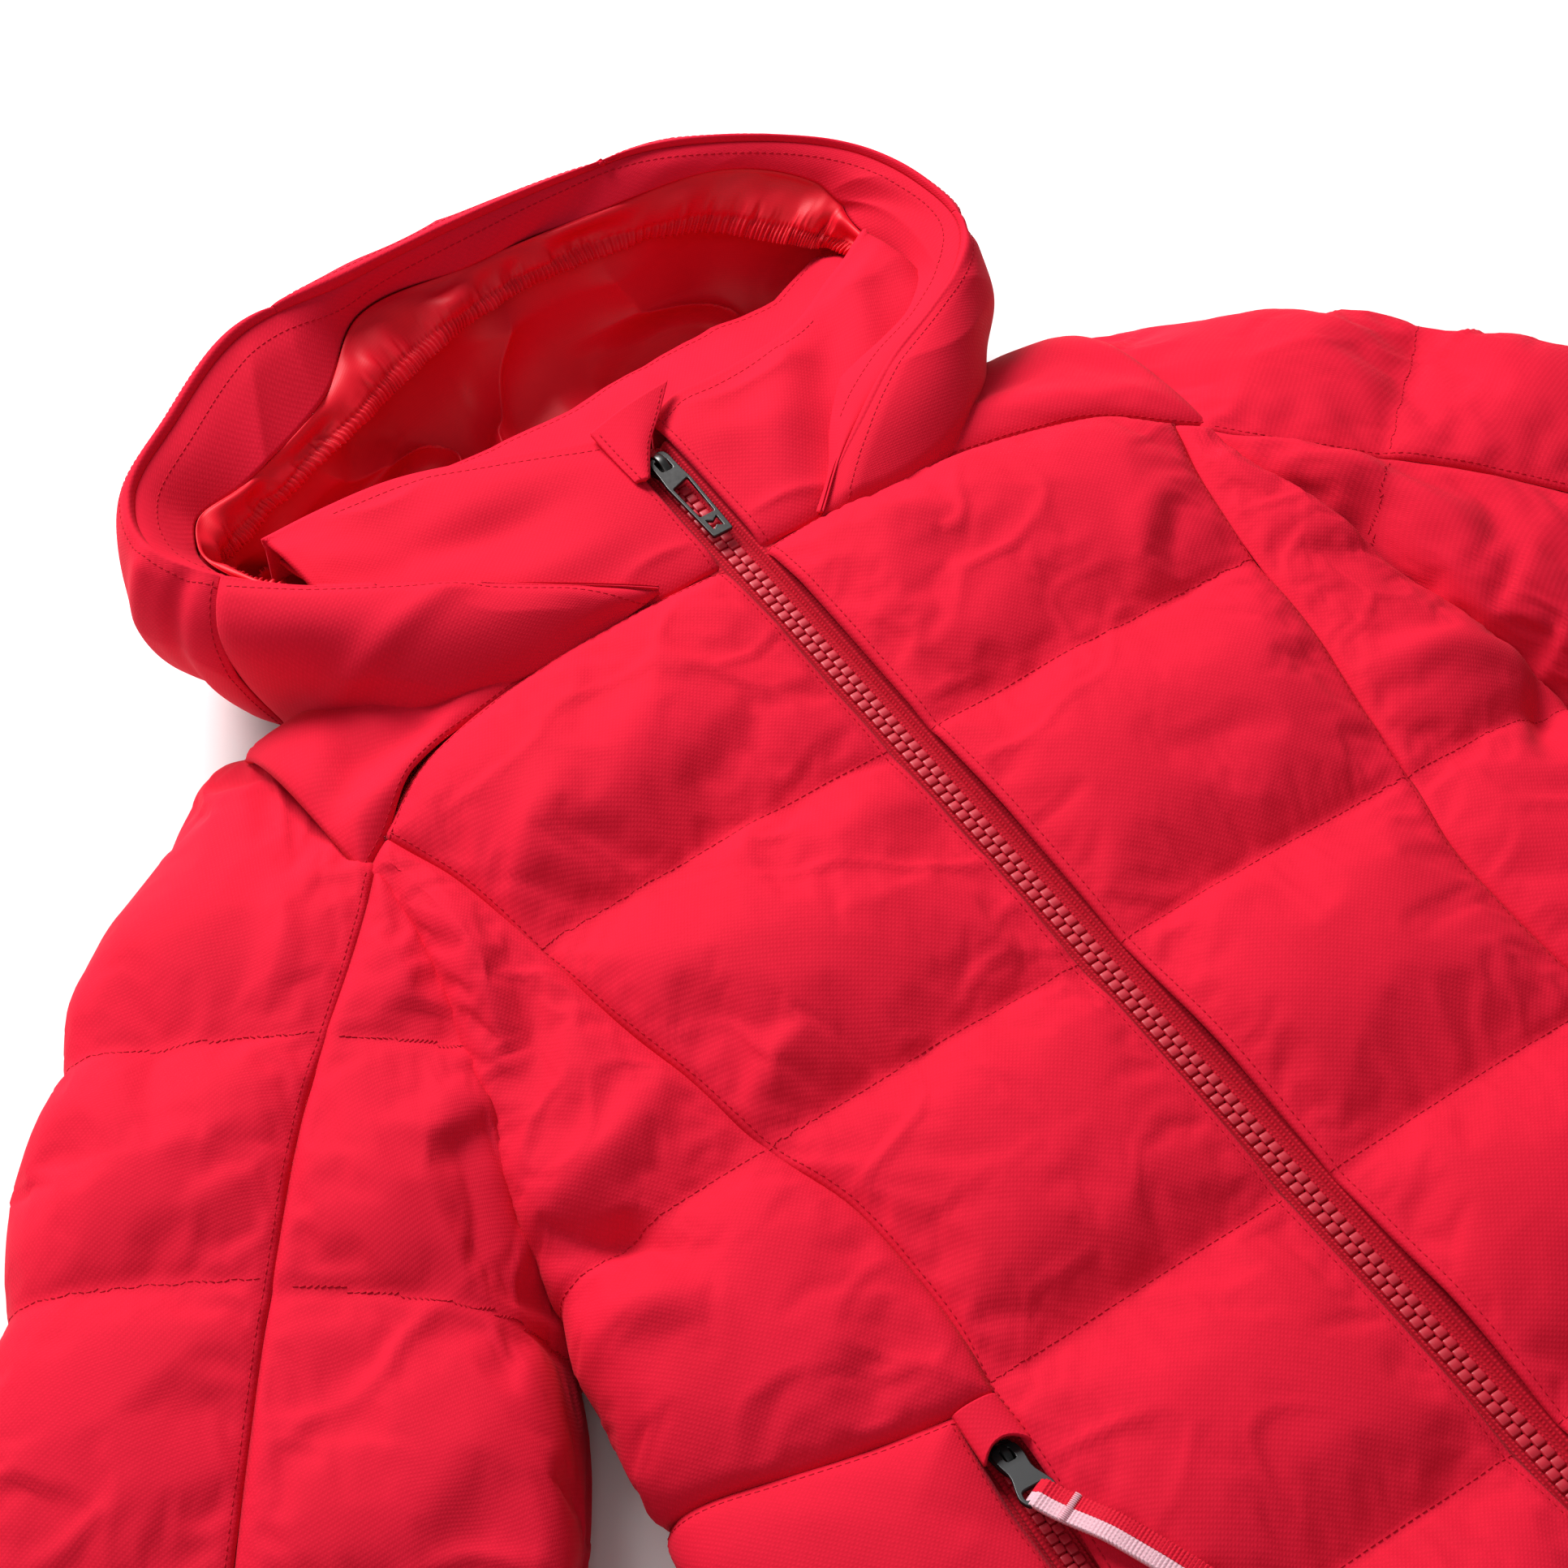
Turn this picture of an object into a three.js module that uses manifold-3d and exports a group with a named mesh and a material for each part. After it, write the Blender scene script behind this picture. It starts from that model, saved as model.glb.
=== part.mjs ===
// A quilted, insulated ski jacket laid on its back: zipped shut, hood open upwards, sleeves out
// to the sides. Millimetres, +Z up. The working axes start where the main zip crosses the first
// quilt row: +X is the wearer's left, +Y runs to the hood. At the end the whole jacket is shifted
// so that its origin is the middle of its footprint, on the surface it lies on.
import * as THREE from "three";
import { mergeVertices } from "three/addons/utils/BufferGeometryUtils.js";
import Module from "manifold-3d";

// Overall sizes
const bodyDepth = 75; // thickness of the torso as it lies
const chestHalf = 212; // half the torso's width at the armpit
const hemHalf = 240; // half the torso's width at the hem
const armpitY = -109;
const hemY = -540;
const neckY = 104; // collar seam at the zip
const shoulderY = 148; // top edge of the shoulders

// Cloth and gaps
const seamGap = 0.5; // between two pieces sewn together
const shellThick = 5; // outer fabric with its insulation
const liningThick = 1.5;
const liningDrop = 18; // from the outer face of a front down to its lining
const placket = 10; // half the distance between the fabric edges beside the main zip

// Zips: the tape's middle plane is 0, and the outer face is up
const tapeThick = 1.5;
const tapeHalf = 16;
const chainHalf = 3.2;
const chainSplit = 0.8; // half the gap between the two rows of teeth
const chainBelow = 1.5;
const chainAbove = 2;
const runClear = 0.4; // between the slider and the chain
const sliderWall = 2;
const sliderLength = 14;
const pullLength = 46;
const pullWidth = 12;
const pullThick = 1.6;
const eyeRadius = 0.8; // bar of the pull tab that lies under the slider's bridge
const mainSliderY = 157; // middle of the slider when the zip is shut
const zipTopY = 168;
const pocketZipScale = 0.85;
const pocketZipLength = 165;
const pocketTopY = -230; // the pocket zip starts here on the princess seam
const pocketSlot = 6.5; // half the gap between the fabric edges beside a pocket zip
const webbingLength = 62;
const webbingWidth = 9.5;
const webbingThick = 2.2;
const pocketPullLength = 26;
const pocketPullTilt = 0.22; // the puller rises out of the slot and rests on the fabric, in radians

// Sleeves: along the sleeve t runs from the middle of the armhole to the cuff, s goes across
const armholeX = 200;
const armholeMidY = 20;
const sleeveAngle = THREE.MathUtils.degToRad(41); // from the torso's line
const sleeveLength = 530;
const cuffLength = 60;
const turnRadius = 176; // the upper sleeve ends on this arc, so that the rest can swing round it
const tabLength = 72;
const tabWidth = 26;
const tabThick = 2.5;

// Collar and hood
const collarHalf = 137;
const collarCorner = 207;
const collarCentre = 166;
const collarBackY = 225;
const collarBackZ = 28;
const rimZ = 88;
const hoodThick = 4;
const napeHalf = 126;
const napeTop = 240.4;

const red = 0xc4161c;
const lining = 0xb01a1c;
const gunmetal = 0x4a4a50;
const black = 0x18181a;
const tape = 0x7a0f1a;

const wasm = await Module();
wasm.setup();

const jacket = new THREE.Group();
const frame = new THREE.Group();
jacket.add(frame);

// A value read off a table of [key, value] points, straight between them.
function read(table, key) {
  const last = table.length - 1;
  let i = 1;
  while (i < last && key > table[i][0]) i += 1;
  const [k0, v0] = table[i - 1];
  const [k1, v1] = table[i];
  const share = THREE.MathUtils.clamp((key - k0) / (k1 - k0), 0, 1);
  return v0 + (v1 - v0) * share;
}

const mix = THREE.MathUtils.lerp;

// The geometry with its corners merged and its faces turned outwards.
function closed(geometry) {
  geometry.deleteAttribute("normal");
  geometry.deleteAttribute("uv");
  const merged = mergeVertices(geometry, 1e-4);
  const p = merged.attributes.position;
  const index = merged.index.array;
  const [a, b, c] = [new THREE.Vector3(), new THREE.Vector3(), new THREE.Vector3()];
  let volume = 0;
  for (let i = 0; i < index.length; i += 3) {
    a.fromBufferAttribute(p, index[i]);
    b.fromBufferAttribute(p, index[i + 1]);
    c.fromBufferAttribute(p, index[i + 2]);
    volume += a.dot(b.cross(c));
  }
  if (volume < 0) for (let i = 0; i < index.length; i += 3) [index[i + 1], index[i + 2]] = [index[i + 2], index[i + 1]];
  merged.computeVertexNormals();
  return merged;
}

// A bent panel: a box of nu by nv cells whose points (u, v, w), each from 0 to 1, go to place(u, v, w).
function panel(nu, nv, place) {
  const box = new THREE.BoxGeometry(1, 1, 1, nu, nv, 1);
  const p = box.attributes.position;
  for (let i = 0; i < p.count; i += 1) p.setXYZ(i, ...place(p.getX(i) + 0.5, p.getY(i) + 0.5, p.getZ(i) + 0.5));
  return closed(box);
}

// A flat piece: the outline, a list of [x, y], from height low upwards by thick.
function flat(outline, low, thick, side = 1) {
  const shape = new THREE.Shape(outline.map(([x, y]) => new THREE.Vector2(side * x, y)));
  return closed(new THREE.ExtrudeGeometry(shape, { depth: thick, bevelEnabled: false }).translate(0, 0, low));
}

// A section, a list of [x, z], carried along Y from y0 to y1. A hole is listed the same way round.
function along(section, y0, y1, hole) {
  const shape = new THREE.Shape(section.map(([x, z]) => new THREE.Vector2(x, z)));
  if (hole) shape.holes.push(new THREE.Path(hole.map(([x, z]) => new THREE.Vector2(x, z)).reverse()));
  const geometry = new THREE.ExtrudeGeometry(shape, { depth: y1 - y0, bevelEnabled: false });
  return closed(geometry.rotateX(Math.PI / 2).translate(0, y1, 0));
}

function block(x0, x1, y0, y1, z0, z1) {
  return closed(new THREE.BoxGeometry(x1 - x0, y1 - y0, z1 - z0).translate((x0 + x1) / 2, (y0 + y1) / 2, (z0 + z1) / 2));
}

function solid(geometry) {
  const triVerts = new Uint32Array(geometry.index.array);
  return new wasm.Manifold(new wasm.Mesh({ numProp: 3, vertProperties: geometry.attributes.position.array, triVerts }));
}

function geometryOf(manifold) {
  const m = manifold.getMesh();
  const geometry = new THREE.BufferGeometry();
  geometry.setAttribute("position", new THREE.BufferAttribute(Float32Array.from(m.vertProperties), 3));
  geometry.setIndex(new THREE.BufferAttribute(Uint32Array.from(m.triVerts), 1));
  geometry.computeVertexNormals();
  return geometry;
}

function join(...pieces) {
  return geometryOf(pieces.map(solid).reduce((all, piece) => all.add(piece)));
}

function add(name, geometry, colour, parent = frame, roughness = 0.75, metalness = 0) {
  const mesh = new THREE.Mesh(geometry, new THREE.MeshStandardMaterial({ color: colour, roughness, metalness }));
  mesh.name = name;
  parent.add(mesh);
  return mesh;
}

// Torso ------------------------------------------------------------------

const torsoWidth = [[hemY, hemHalf], [-216, 227], [armpitY, chestHalf], [shoulderY, chestHalf]];
const princess = [[hemY, 146], [-400, 137], [-216, 125], [-108, 132], [0, 152], [70, 169]];
const armhole = [[armpitY + 1, 212], [-39, 201], [4, 185], [61, 181], [shoulderY, 192]];
const yokeSeam = [[placket, neckY], [87, 101], [169, 69.5], [181, 61.5]];
const pocketSeam = [[125, -221], [165, -214], [230, -189]];
const sideStart = 0.93; // share of the half width where the fronts meet the underarm panel
const backFlat = 0.8; // share of the half width that lies flat

// Height of the torso's outer face over the surface, a superellipse across the width.
function torsoTop(x, y) {
  const across = Math.min(Math.abs(x) / read(torsoWidth, y), 1);
  return (bodyDepth / 2) * (1 + (1 - across ** 4) ** 0.25);
}

// The fabric edges stand apart along the pocket zips and meet elsewhere.
function princessGap(y) {
  const low = pocketTopY - pocketZipLength;
  return y < pocketTopY + 2 && y > low - 2 ? pocketSlot : seamGap / 2;
}

const pocketTopX = read(princess, pocketTopY);
const pocketTilt = Math.atan2(read(princess, pocketTopY - pocketZipLength) - pocketTopX, pocketZipLength);

const frontRows = [];
for (let y = hemY; y < pocketTopY - pocketZipLength - 3; y += 35) frontRows.push(y);
frontRows.push(pocketTopY - pocketZipLength - 3, pocketTopY - pocketZipLength - 1);
for (let y = pocketTopY - pocketZipLength + 30; y < pocketTopY - 5; y += 35) frontRows.push(y);
frontRows.push(pocketTopY + 1, pocketTopY + 3);
const chestRows = [-180, -145, armpitY - seamGap, armpitY + 1, -70, -39, 0, 4, 35]; // between the pocket seam and the yoke

// The front between the zip and the princess seam.
function centreFront(side) {
  const rows = [...frontRows, -216, ...chestRows, 69];
  const nv = rows.length;
  return panel(5, nv, (u, v, w) => {
    const k = Math.round(v * nv);
    const top = read(yokeSeam, mix(placket, 165, u)) - seamGap;
    const y = k === nv ? top : Math.min(rows[k], top - 8 * (nv - k));
    const x = mix(placket, read(princess, y) - princessGap(y), u);
    return [side * x, y, torsoTop(x, y) - shellThick * w];
  });
}

// Where the fronts end beside the underarm panel.
function sideEdge(y) {
  return sideStart * (read(torsoWidth, y) - shellThick) - 1.6 * seamGap;
}

// From the princess seam to the armhole, down to the pocket seam.
function sideFront(side) {
  const nv = chestRows.length + 1;
  return panel(3, nv, (u, v, w) => {
    const k = Math.round(v * nv);
    const bottom = read(pocketSeam, mix(127, 215, u)) + seamGap;
    const y = k === 0 ? bottom : k === nv ? mix(68, 61, u) - seamGap : chestRows[k - 1];
    const outer = y > armpitY ? read(armhole, y) - seamGap : sideEdge(y);
    const x = mix(read(princess, y) + seamGap / 2, outer, u);
    return [side * x, y, torsoTop(x, y) - shellThick * w];
  });
}

// Below the pocket seam, between the pocket zip and the underarm panel.
function lowerSide(side) {
  const rows = frontRows.filter((y) => y < pocketTopY + 2);
  const nv = rows.length;
  return panel(3, nv, (u, v, w) => {
    const k = Math.round(v * nv);
    const y = k === nv ? read(pocketSeam, mix(127, 215, u)) - seamGap : rows[k];
    const gap = k === nv ? seamGap : princessGap(y);
    const x = mix(read(princess, y) + gap, sideEdge(y), u);
    return [side * x, y, torsoTop(x, y) - shellThick * w];
  });
}

// Round the side of the torso, from the fronts to the back.
function underarm(side) {
  return panel(10, 6, (u, v, w) => {
    const y = mix(hemY, armpitY - 1, v);
    const half = read(torsoWidth, y);
    const first = Math.asin(sideStart ** 2);
    const angle = mix(first, Math.PI - Math.asin(backFlat ** 2), u);
    const x = (half - shellThick * w) * Math.sqrt(Math.sin(angle));
    const lift = Math.sign(Math.cos(angle)) * Math.sqrt(Math.abs(Math.cos(angle)));
    return [side * x, y, bodyDepth / 2 + (bodyDepth / 2 - shellThick * w) * lift];
  });
}

const backEdge = backFlat * 0.985; // keeps the flat back clear of the underarm panels
const backOutline = [
  [backEdge * hemHalf, hemY],
  [backEdge * read(torsoWidth, -216), -216],
  [backEdge * chestHalf, armpitY - 1],
  [read(armhole, -95) - 3, -95],
  [read(armhole, -39) - seamGap, -39],
  [read(armhole, 4) - seamGap, 4],
  [read(armhole, 29) - seamGap, 29],
];
const mirrored = (outline) => [...outline, ...outline.map(([x, y]) => [-x, y]).reverse()];

add("back_panel", flat(mirrored(backOutline), 0, shellThick), red);
const backYoke = [[read(armhole, 30) - 1, 29 + seamGap], [181 - 1, 61], [192 - 1, shoulderY]];
add("back_yoke", flat(mirrored(backYoke), 0, shellThick), red);
add("back_lining", flat(mirrored([[170, hemY + 8], [160, armpitY], [168, 140]]), shellThick + seamGap, liningThick), lining);

for (const [hand, side] of [["left", 1], ["right", -1]]) {
  add(`front_${hand}`, centreFront(side), red);
  add(`side_front_${hand}`, sideFront(side), red);
  add(`lower_side_${hand}`, lowerSide(side), red);
  add(`underarm_${hand}`, underarm(side), red);
  const yoke = [[90, 101.3], [169.2, 70.9], [180.4, 62.6], [191, 147], [141, 147], [98, 103.6]];
  add(`yoke_${hand}`, flat(yoke, 65, shellThick, side), red);
  add(
    `front_lining_${hand}`,
    panel(8, 10, (u, v, w) => {
      const y = mix(hemY + 8, 60, v);
      const x = mix(17.5, 0.84 * read(torsoWidth, y), u);
      const drop = read([[17.5, shellThick + seamGap], [45, liningDrop]], x);
      return [side * x, y, torsoTop(x, y) - drop - liningThick * w];
    }),
    lining,
  );
}

// Snow skirt inside the hem, a band that follows the torso's section.
const skirtY = -440;
const skirtWidth = 50;
const skirtInset = liningDrop + liningThick + 2;
function skirtSection(inset) {
  const half = read(torsoWidth, skirtY) - inset;
  const depth = bodyDepth / 2 - inset;
  return Array.from({ length: 28 }, (_, i) => {
    const angle = (i / 28) * 2 * Math.PI;
    const [s, c] = [Math.sin(angle), Math.cos(angle)];
    return [Math.sign(s) * half * Math.sqrt(Math.abs(s)), bodyDepth / 2 + Math.sign(c) * depth * Math.sqrt(Math.abs(c))];
  });
}
add(
  "snow_skirt",
  along(skirtSection(skirtInset), skirtY, skirtY + skirtWidth, skirtSection(skirtInset + liningThick)),
  lining,
);

// Zips -------------------------------------------------------------------

// One half of a zip: the tape with its row of teeth.
function zipHalf(side, y0, y1, k = 1) {
  const t = tapeThick / 2;
  const section = [
    [chainSplit, -chainBelow], [chainHalf, -chainBelow], [chainHalf, -t], [tapeHalf * k, -t],
    [tapeHalf * k, t], [chainHalf, t], [chainHalf, chainAbove], [chainSplit, chainAbove],
  ];
  return along(section.map(([x, z]) => [side * x, z]), y0, y1);
}

const plateTop = chainAbove + runClear + sliderWall;
const eyeZ = plateTop + runClear + eyeRadius;

// The slider round the closed chain: two plates on a thin post, and the bridge for the pull tab.
function slider() {
  const half = chainHalf + runClear + 2.2;
  const lip = tapeThick / 2 + runClear;
  const inner = chainHalf + runClear;
  const post = chainSplit - runClear;
  const up = chainAbove + runClear;
  const down = chainBelow + runClear;
  const right = [
    [half, -down - sliderWall], [half, -lip], [inner, -lip], [inner, -down], [post, -down],
    [post, up], [inner, up], [inner, lip], [half, lip], [half, plateTop],
  ];
  const body = along(mirroredSection(right), -sliderLength / 2, sliderLength / 2);
  const high = eyeZ + eyeRadius + runClear + 1.4;
  const roof = block(-1.4, 1.4, -5.5, 5.5, high - 1.4, high);
  const feet = [-1, 1].map((end) => block(-1.4, 1.4, end > 0 ? 3.9 : -5.5, end > 0 ? 5.5 : -3.9, plateTop - 0.5, high - 0.5));
  return join(body, roof, ...feet);
}

function mirroredSection(right) {
  return [...right, ...right.map(([x, z]) => [-x, z]).reverse()];
}

// The pull tab: a bar under the bridge, two arms and a tapered plate with a window.
function pullTab(length, width) {
  const arm = width / 2 - 1.8;
  const bar = closed(new THREE.CylinderGeometry(eyeRadius, eyeRadius, width - 1, 8).rotateZ(Math.PI / 2));
  const shape = new THREE.Shape([
    [-width / 2, 0], [-width / 2, -9], [-width / 3, -length], [width / 3, -length], [width / 2, -9], [width / 2, 0],
    [arm, 0], [arm, -14], [-arm, -14], [-arm, 0],
  ].map(([x, y]) => new THREE.Vector2(x, y)));
  const plate = new THREE.ExtrudeGeometry(shape, { depth: pullThick, bevelEnabled: false }).translate(0, 0, -pullThick / 2);
  return join(bar, closed(plate));
}

const mainZip = new THREE.Group();
mainZip.position.z = bodyDepth - shellThick - seamGap - tapeThick / 2;
frame.add(mainZip);
const chainEndY = hemY + 22;
add("main_zip_left", zipHalf(1, chainEndY, zipTopY), tape, mainZip);
add("main_zip_right", zipHalf(-1, chainEndY, zipTopY), tape, mainZip);
add("zip_box", block(-5, 5, hemY + 8, chainEndY - seamGap, -chainBelow - 1, chainAbove + 1), red, mainZip, 0.4);
const mainSlider = add("main_slider", slider(), gunmetal, mainZip, 0.3, 1);
mainSlider.position.y = mainSliderY;
const mainPull = add("main_pull_tab", pullTab(pullLength, pullWidth), gunmetal, mainZip, 0.3, 1);
mainPull.position.set(0, mainSliderY, eyeZ);

const flapLow = mainZip.position.z - 8;
const flapLeg = mainZip.position.z - tapeThick / 2 - seamGap;
add(
  "storm_flap",
  along(
    [[-15, flapLow], [16, flapLow], [16, flapLeg], [12.5, flapLeg], [12.5, flapLow + liningThick], [-15, flapLow + liningThick]],
    hemY + 8,
    zipTopY,
  ),
  lining,
);

for (const [hand, side] of [["left", 1], ["right", -1]]) {
  const zip = new THREE.Group();
  const lie = torsoTop(pocketTopX + 12, pocketTopY) - shellThick - seamGap - tapeThick / 2;
  zip.position.set(side * pocketTopX, pocketTopY, lie - 0.6);
  zip.rotation.z = side * pocketTilt;
  frame.add(zip);
  const k = pocketZipScale;
  const start = sliderLength / 2 + 1;
  add(
    `pocket_zip_${hand}`,
    join(
      zipHalf(1, -pocketZipLength, 0, k),
      zipHalf(-1, -pocketZipLength, 0, k),
      block(-6, 6, -pocketZipLength, -pocketZipLength + 4, -chainBelow, chainAbove),
    ),
    tape,
    zip,
  );
  const pocketSlider = add(`pocket_slider_${hand}`, slider(), black, zip, 0.4, 0.8);
  pocketSlider.position.y = -start;
  const pull = new THREE.Group();
  pull.position.set(0, -start, eyeZ);
  zip.add(pull);
  pull.rotation.x = -pocketPullTilt;
  add(`pocket_puller_${hand}`, pullTab(pocketPullLength, 9), black, pull, 0.4, 0.8);
  const strap = block(-webbingWidth / 2, webbingWidth / 2, -webbingLength, 0, 0, webbingThick);
  const webbing = add(`pocket_webbing_${hand}`, strap, 0xd8a0a0, zip, 0.8);
  const strapStart = start + pocketPullLength * Math.cos(pocketPullTilt) + 2 * seamGap;
  webbing.position.set(-side * 2, -strapStart, bodyDepth + 0.4 - zip.position.z);
  webbing.rotation.z = -side * 0.45;

  const bagLow = torsoTop(76, pocketTopY) - liningDrop + seamGap;
  const bag = [[76, -235], [110, -188], [192, -184], [196, -330], [170, -415], [90, -405]];
  add(`pocket_bag_${hand}`, flat(bag, bagLow, 2.6, side), lining);
}

// Collar -----------------------------------------------------------------

for (const [hand, side] of [["left", 1], ["right", -1]]) {
  const front = [
    [placket, neckY + seamGap], [95, neckY + seamGap], [collarHalf, 150], [collarHalf, collarCorner],
    [75, collarCorner - 22], [placket, collarCentre],
  ];
  add(`collar_front_${hand}`, flat(front, bodyDepth - shellThick, shellThick, side), red);
}
const wall = 4;
const collarRise = bodyDepth - shellThick - seamGap;
const collarSection = [
  [-collarHalf, collarBackZ], [collarHalf, collarBackZ], [collarHalf, collarRise], [collarHalf - wall, collarRise],
  [collarHalf - wall, collarBackZ + wall], [-collarHalf + wall, collarBackZ + wall], [-collarHalf + wall, collarRise],
  [-collarHalf, collarRise],
];
add("collar_back", along(collarSection, 152, collarBackY), red);
add("hanger_loop", block(-35, 35, 156, 162, collarBackZ + wall + seamGap, collarBackZ + wall + seamGap + 1.5), black);
const garageOutline = [[-16, 152], [-8.5, 152], [-8.5, 166.5], [9, 167], [23, 187], [-14, 182]];
add("zip_garage", flat(garageOutline, bodyDepth + seamGap, 2), red);

// Hood -------------------------------------------------------------------

// Left half of the rim, and of the edge where the moving hood's floor ends: [share of the rim, x, y].
const rimHalf = [
  [0, -150, 168], [0.08, -164, 190], [0.17, -172, 216], [0.25, -166, 246], [0.33, -142, 275], [0.4, -95, 297],
  [0.5, 0, 306],
];
const floorHalf = [[0, -145, 200], [0.08, -134, 222], [0.17, -118, 238], [0.25, -64, 241], [0.5, 0, 244]];
const hoodMiddleY = 215;

// A point of a curve given for its left half and mirrored for the right.
function onCurve(half, u) {
  const key = Math.min(u, 1 - u);
  const x = read(half.map(([k, px]) => [k, px]), key);
  const y = read(half.map(([k, , py]) => [k, py]), key);
  return [u > 0.5 ? -x : x, y];
}

// The hood's outer face: v from 0 to 1 goes from the rim down the wall and in over the floor.
function hoodPoint(u, v, inset) {
  const [rx, ry] = onCurve(rimHalf, u);
  const [fx, fy] = onCurve(floorHalf, u);
  const away = Math.hypot(rx, ry - hoodMiddleY);
  const [nx, ny] = [rx / away, (ry - hoodMiddleY) / away];
  const foot = 0.5;
  if (v < foot) {
    const down = v / foot;
    const bulge = 7 * Math.sin(Math.PI * down) - 6 * down ** 4 - inset;
    return [rx + nx * bulge, ry + ny * bulge, mix(rimZ, 0, down) + inset * down];
  }
  const inward = (v - foot) / (1 - foot);
  return [mix(rx - nx * (6 + inset), fx, inward), mix(ry - ny * (6 + inset), fy, inward), inset];
}

// The rim's shares between u0 and u1 at which every hood piece has a row of points, so that they nest.
function hoodRows(u0, u1) {
  const half = rimHalf.map(([key]) => key);
  const all = [...half, ...half.map((key) => 1 - key)].filter((key) => key > u0 && key < u1);
  return [u0, ...new Set(all.sort((a, b) => a - b)), u1];
}

const wallRows = [0, 0.125, 0.25, 0.375, 0.5, 0.75, 1];
function hoodShell(u0, u1, v0, near, thick) {
  const us = hoodRows(u0, u1);
  const vs = wallRows.filter((v) => v >= v0);
  return panel(us.length - 1, vs.length - 1, (u, v, w) =>
    hoodPoint(us[Math.round(u * (us.length - 1))], vs[Math.round(v * (vs.length - 1))], near + thick * w),
  );
}

add("hood_side_right", hoodShell(0, 0.385, 0, 0, hoodThick), red);
add("hood_crown", hoodShell(0.388, 0.612, 0, 0, hoodThick), red);
add("hood_side_left", hoodShell(0.615, 1, 0, 0, hoodThick), red);
add("hood_lining", hoodShell(0.03, 0.97, 0.25, hoodThick + 3 * seamGap, liningThick), lining);

const facingWidth = [[0, 5], [0.1, 8], [0.25, 30], [0.5, 48]];
function facingPoint(u, inward, low, w) {
  const [rx, ry] = onCurve(rimHalf, u);
  const away = Math.hypot(rx, ry - hoodMiddleY);
  const reach = hoodThick + 0.4 * seamGap + inward;
  return [rx - (rx / away) * reach, ry - ((ry - hoodMiddleY) / away) * reach, low + 2 * w];
}
const facingAt = (u) => read(facingWidth, Math.min(u, 1 - u));
const facingRows = hoodRows(0.02, 0.98);
const facingCells = facingRows.length - 1;
add(
  "hood_facing",
  panel(facingCells, 2, (u, v, w) => {
    const at = facingRows[Math.round(u * facingCells)];
    return facingPoint(at, facingAt(at) * v, 82 - 8 * v, w);
  }),
  red,
);
add(
  "hood_gaiter",
  panel(facingCells, 1, (u, v, w) => {
    const at = facingRows[Math.round(u * facingCells)];
    const [x, y] = facingPoint(at, facingAt(at) - 2 + 2 * w, 0, 0);
    return [x, y, mix(48, 74 - seamGap, v)];
  }),
  lining,
);

const nape = [[napeHalf, shoulderY + seamGap], [napeHalf, napeTop - 18], [62, napeTop]];
add("hood_nape", flat(mirrored(nape), 0, hoodThick), red);
for (const [hand, side] of [["left", 1], ["right", -1]]) {
  const cheek = [[36, 104], [62, 101], [109, 102], [144, 122], [144, 148], [135, 157], [135, 178], [90, 148], [50, 118]];
  add(`hood_cheek_${hand}`, flat(cheek, bodyDepth + seamGap, 6, side), red);
}

// Sleeves ----------------------------------------------------------------

const sleeveHalf = [[-110, 104], [136, 96], [300, 88], [420, 78], [sleeveLength, 64]];
const sleeveDepth = [[-110, 68], [136, 64], [300, 60], [420, 54], [sleeveLength, 44]];
const towards = new THREE.Vector2(-Math.sin(sleeveAngle), -Math.cos(sleeveAngle));
const outwards = new THREE.Vector2(-Math.cos(sleeveAngle), Math.sin(sleeveAngle));

// The armhole seen from the sleeve: for each s across, the t where the sleeve starts.
const armholeInSleeve = armhole
  .map(([y, x]) => new THREE.Vector2(-x + armholeX, y - armholeMidY))
  .map((p) => [p.dot(outwards), p.dot(towards) + 1]);
const sleeveStart = [[-96, 141], [-76, 109], ...armholeInSleeve.slice(1), [92, -88], [104, -40]];

// A point on the sleeve's section at t: angle 0 is the top, a quarter turn the outer edge.
function sleevePoint(angle, inset, t) {
  const [s, c] = [Math.sin(angle), Math.cos(angle)];
  const half = read(sleeveHalf, t) - inset;
  const depth = read(sleeveDepth, t) / 2;
  const x = Math.sign(s) * half * Math.sqrt(Math.abs(s));
  return [x, depth + Math.sign(c) * (depth - inset) * Math.sqrt(Math.abs(c))];
}

// Rows of points across the sleeve, at the armhole's corners among them, as angles on the section.
const sleeveRows = [-0.999, -0.96, -0.88, -0.79, -0.59, -0.39, -0.225, 0, 0.125, 0.4, 0.63, 0.8, 0.93, 0.985, 0.999].map(
  (share) => Math.sign(share) * Math.asin(share ** 2),
);

// Where a row of points at this angle meets the edge, a function of s that gives t.
function meet(edge, angle, inset) {
  let t = edge(sleevePoint(angle, inset, 100)[0]);
  for (let i = 0; i < 6; i += 1) t = edge(sleevePoint(angle, inset, t)[0]);
  return t;
}

// A half of the sleeve, top or bottom, between the two edges.
function sleeveShell(side, top, from, to, nv, near, thick) {
  return panel(sleeveRows.length - 1, nv, (u, v, w) => {
    const row = sleeveRows[Math.round(u * (sleeveRows.length - 1))];
    const angle = top ? row : Math.PI - row;
    const inset = near + thick * w;
    const t = mix(meet(from, angle, inset), meet(to, angle, inset), v);
    const [x, z] = sleevePoint(angle, inset, t);
    return [side * x, -t, z];
  });
}

const arc = (radius) => (s) => Math.sqrt(radius ** 2 - Math.min(Math.abs(s), 96) ** 2);
const end = (t) => () => t;
const cuffStart = sleeveLength - cuffLength;

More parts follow.
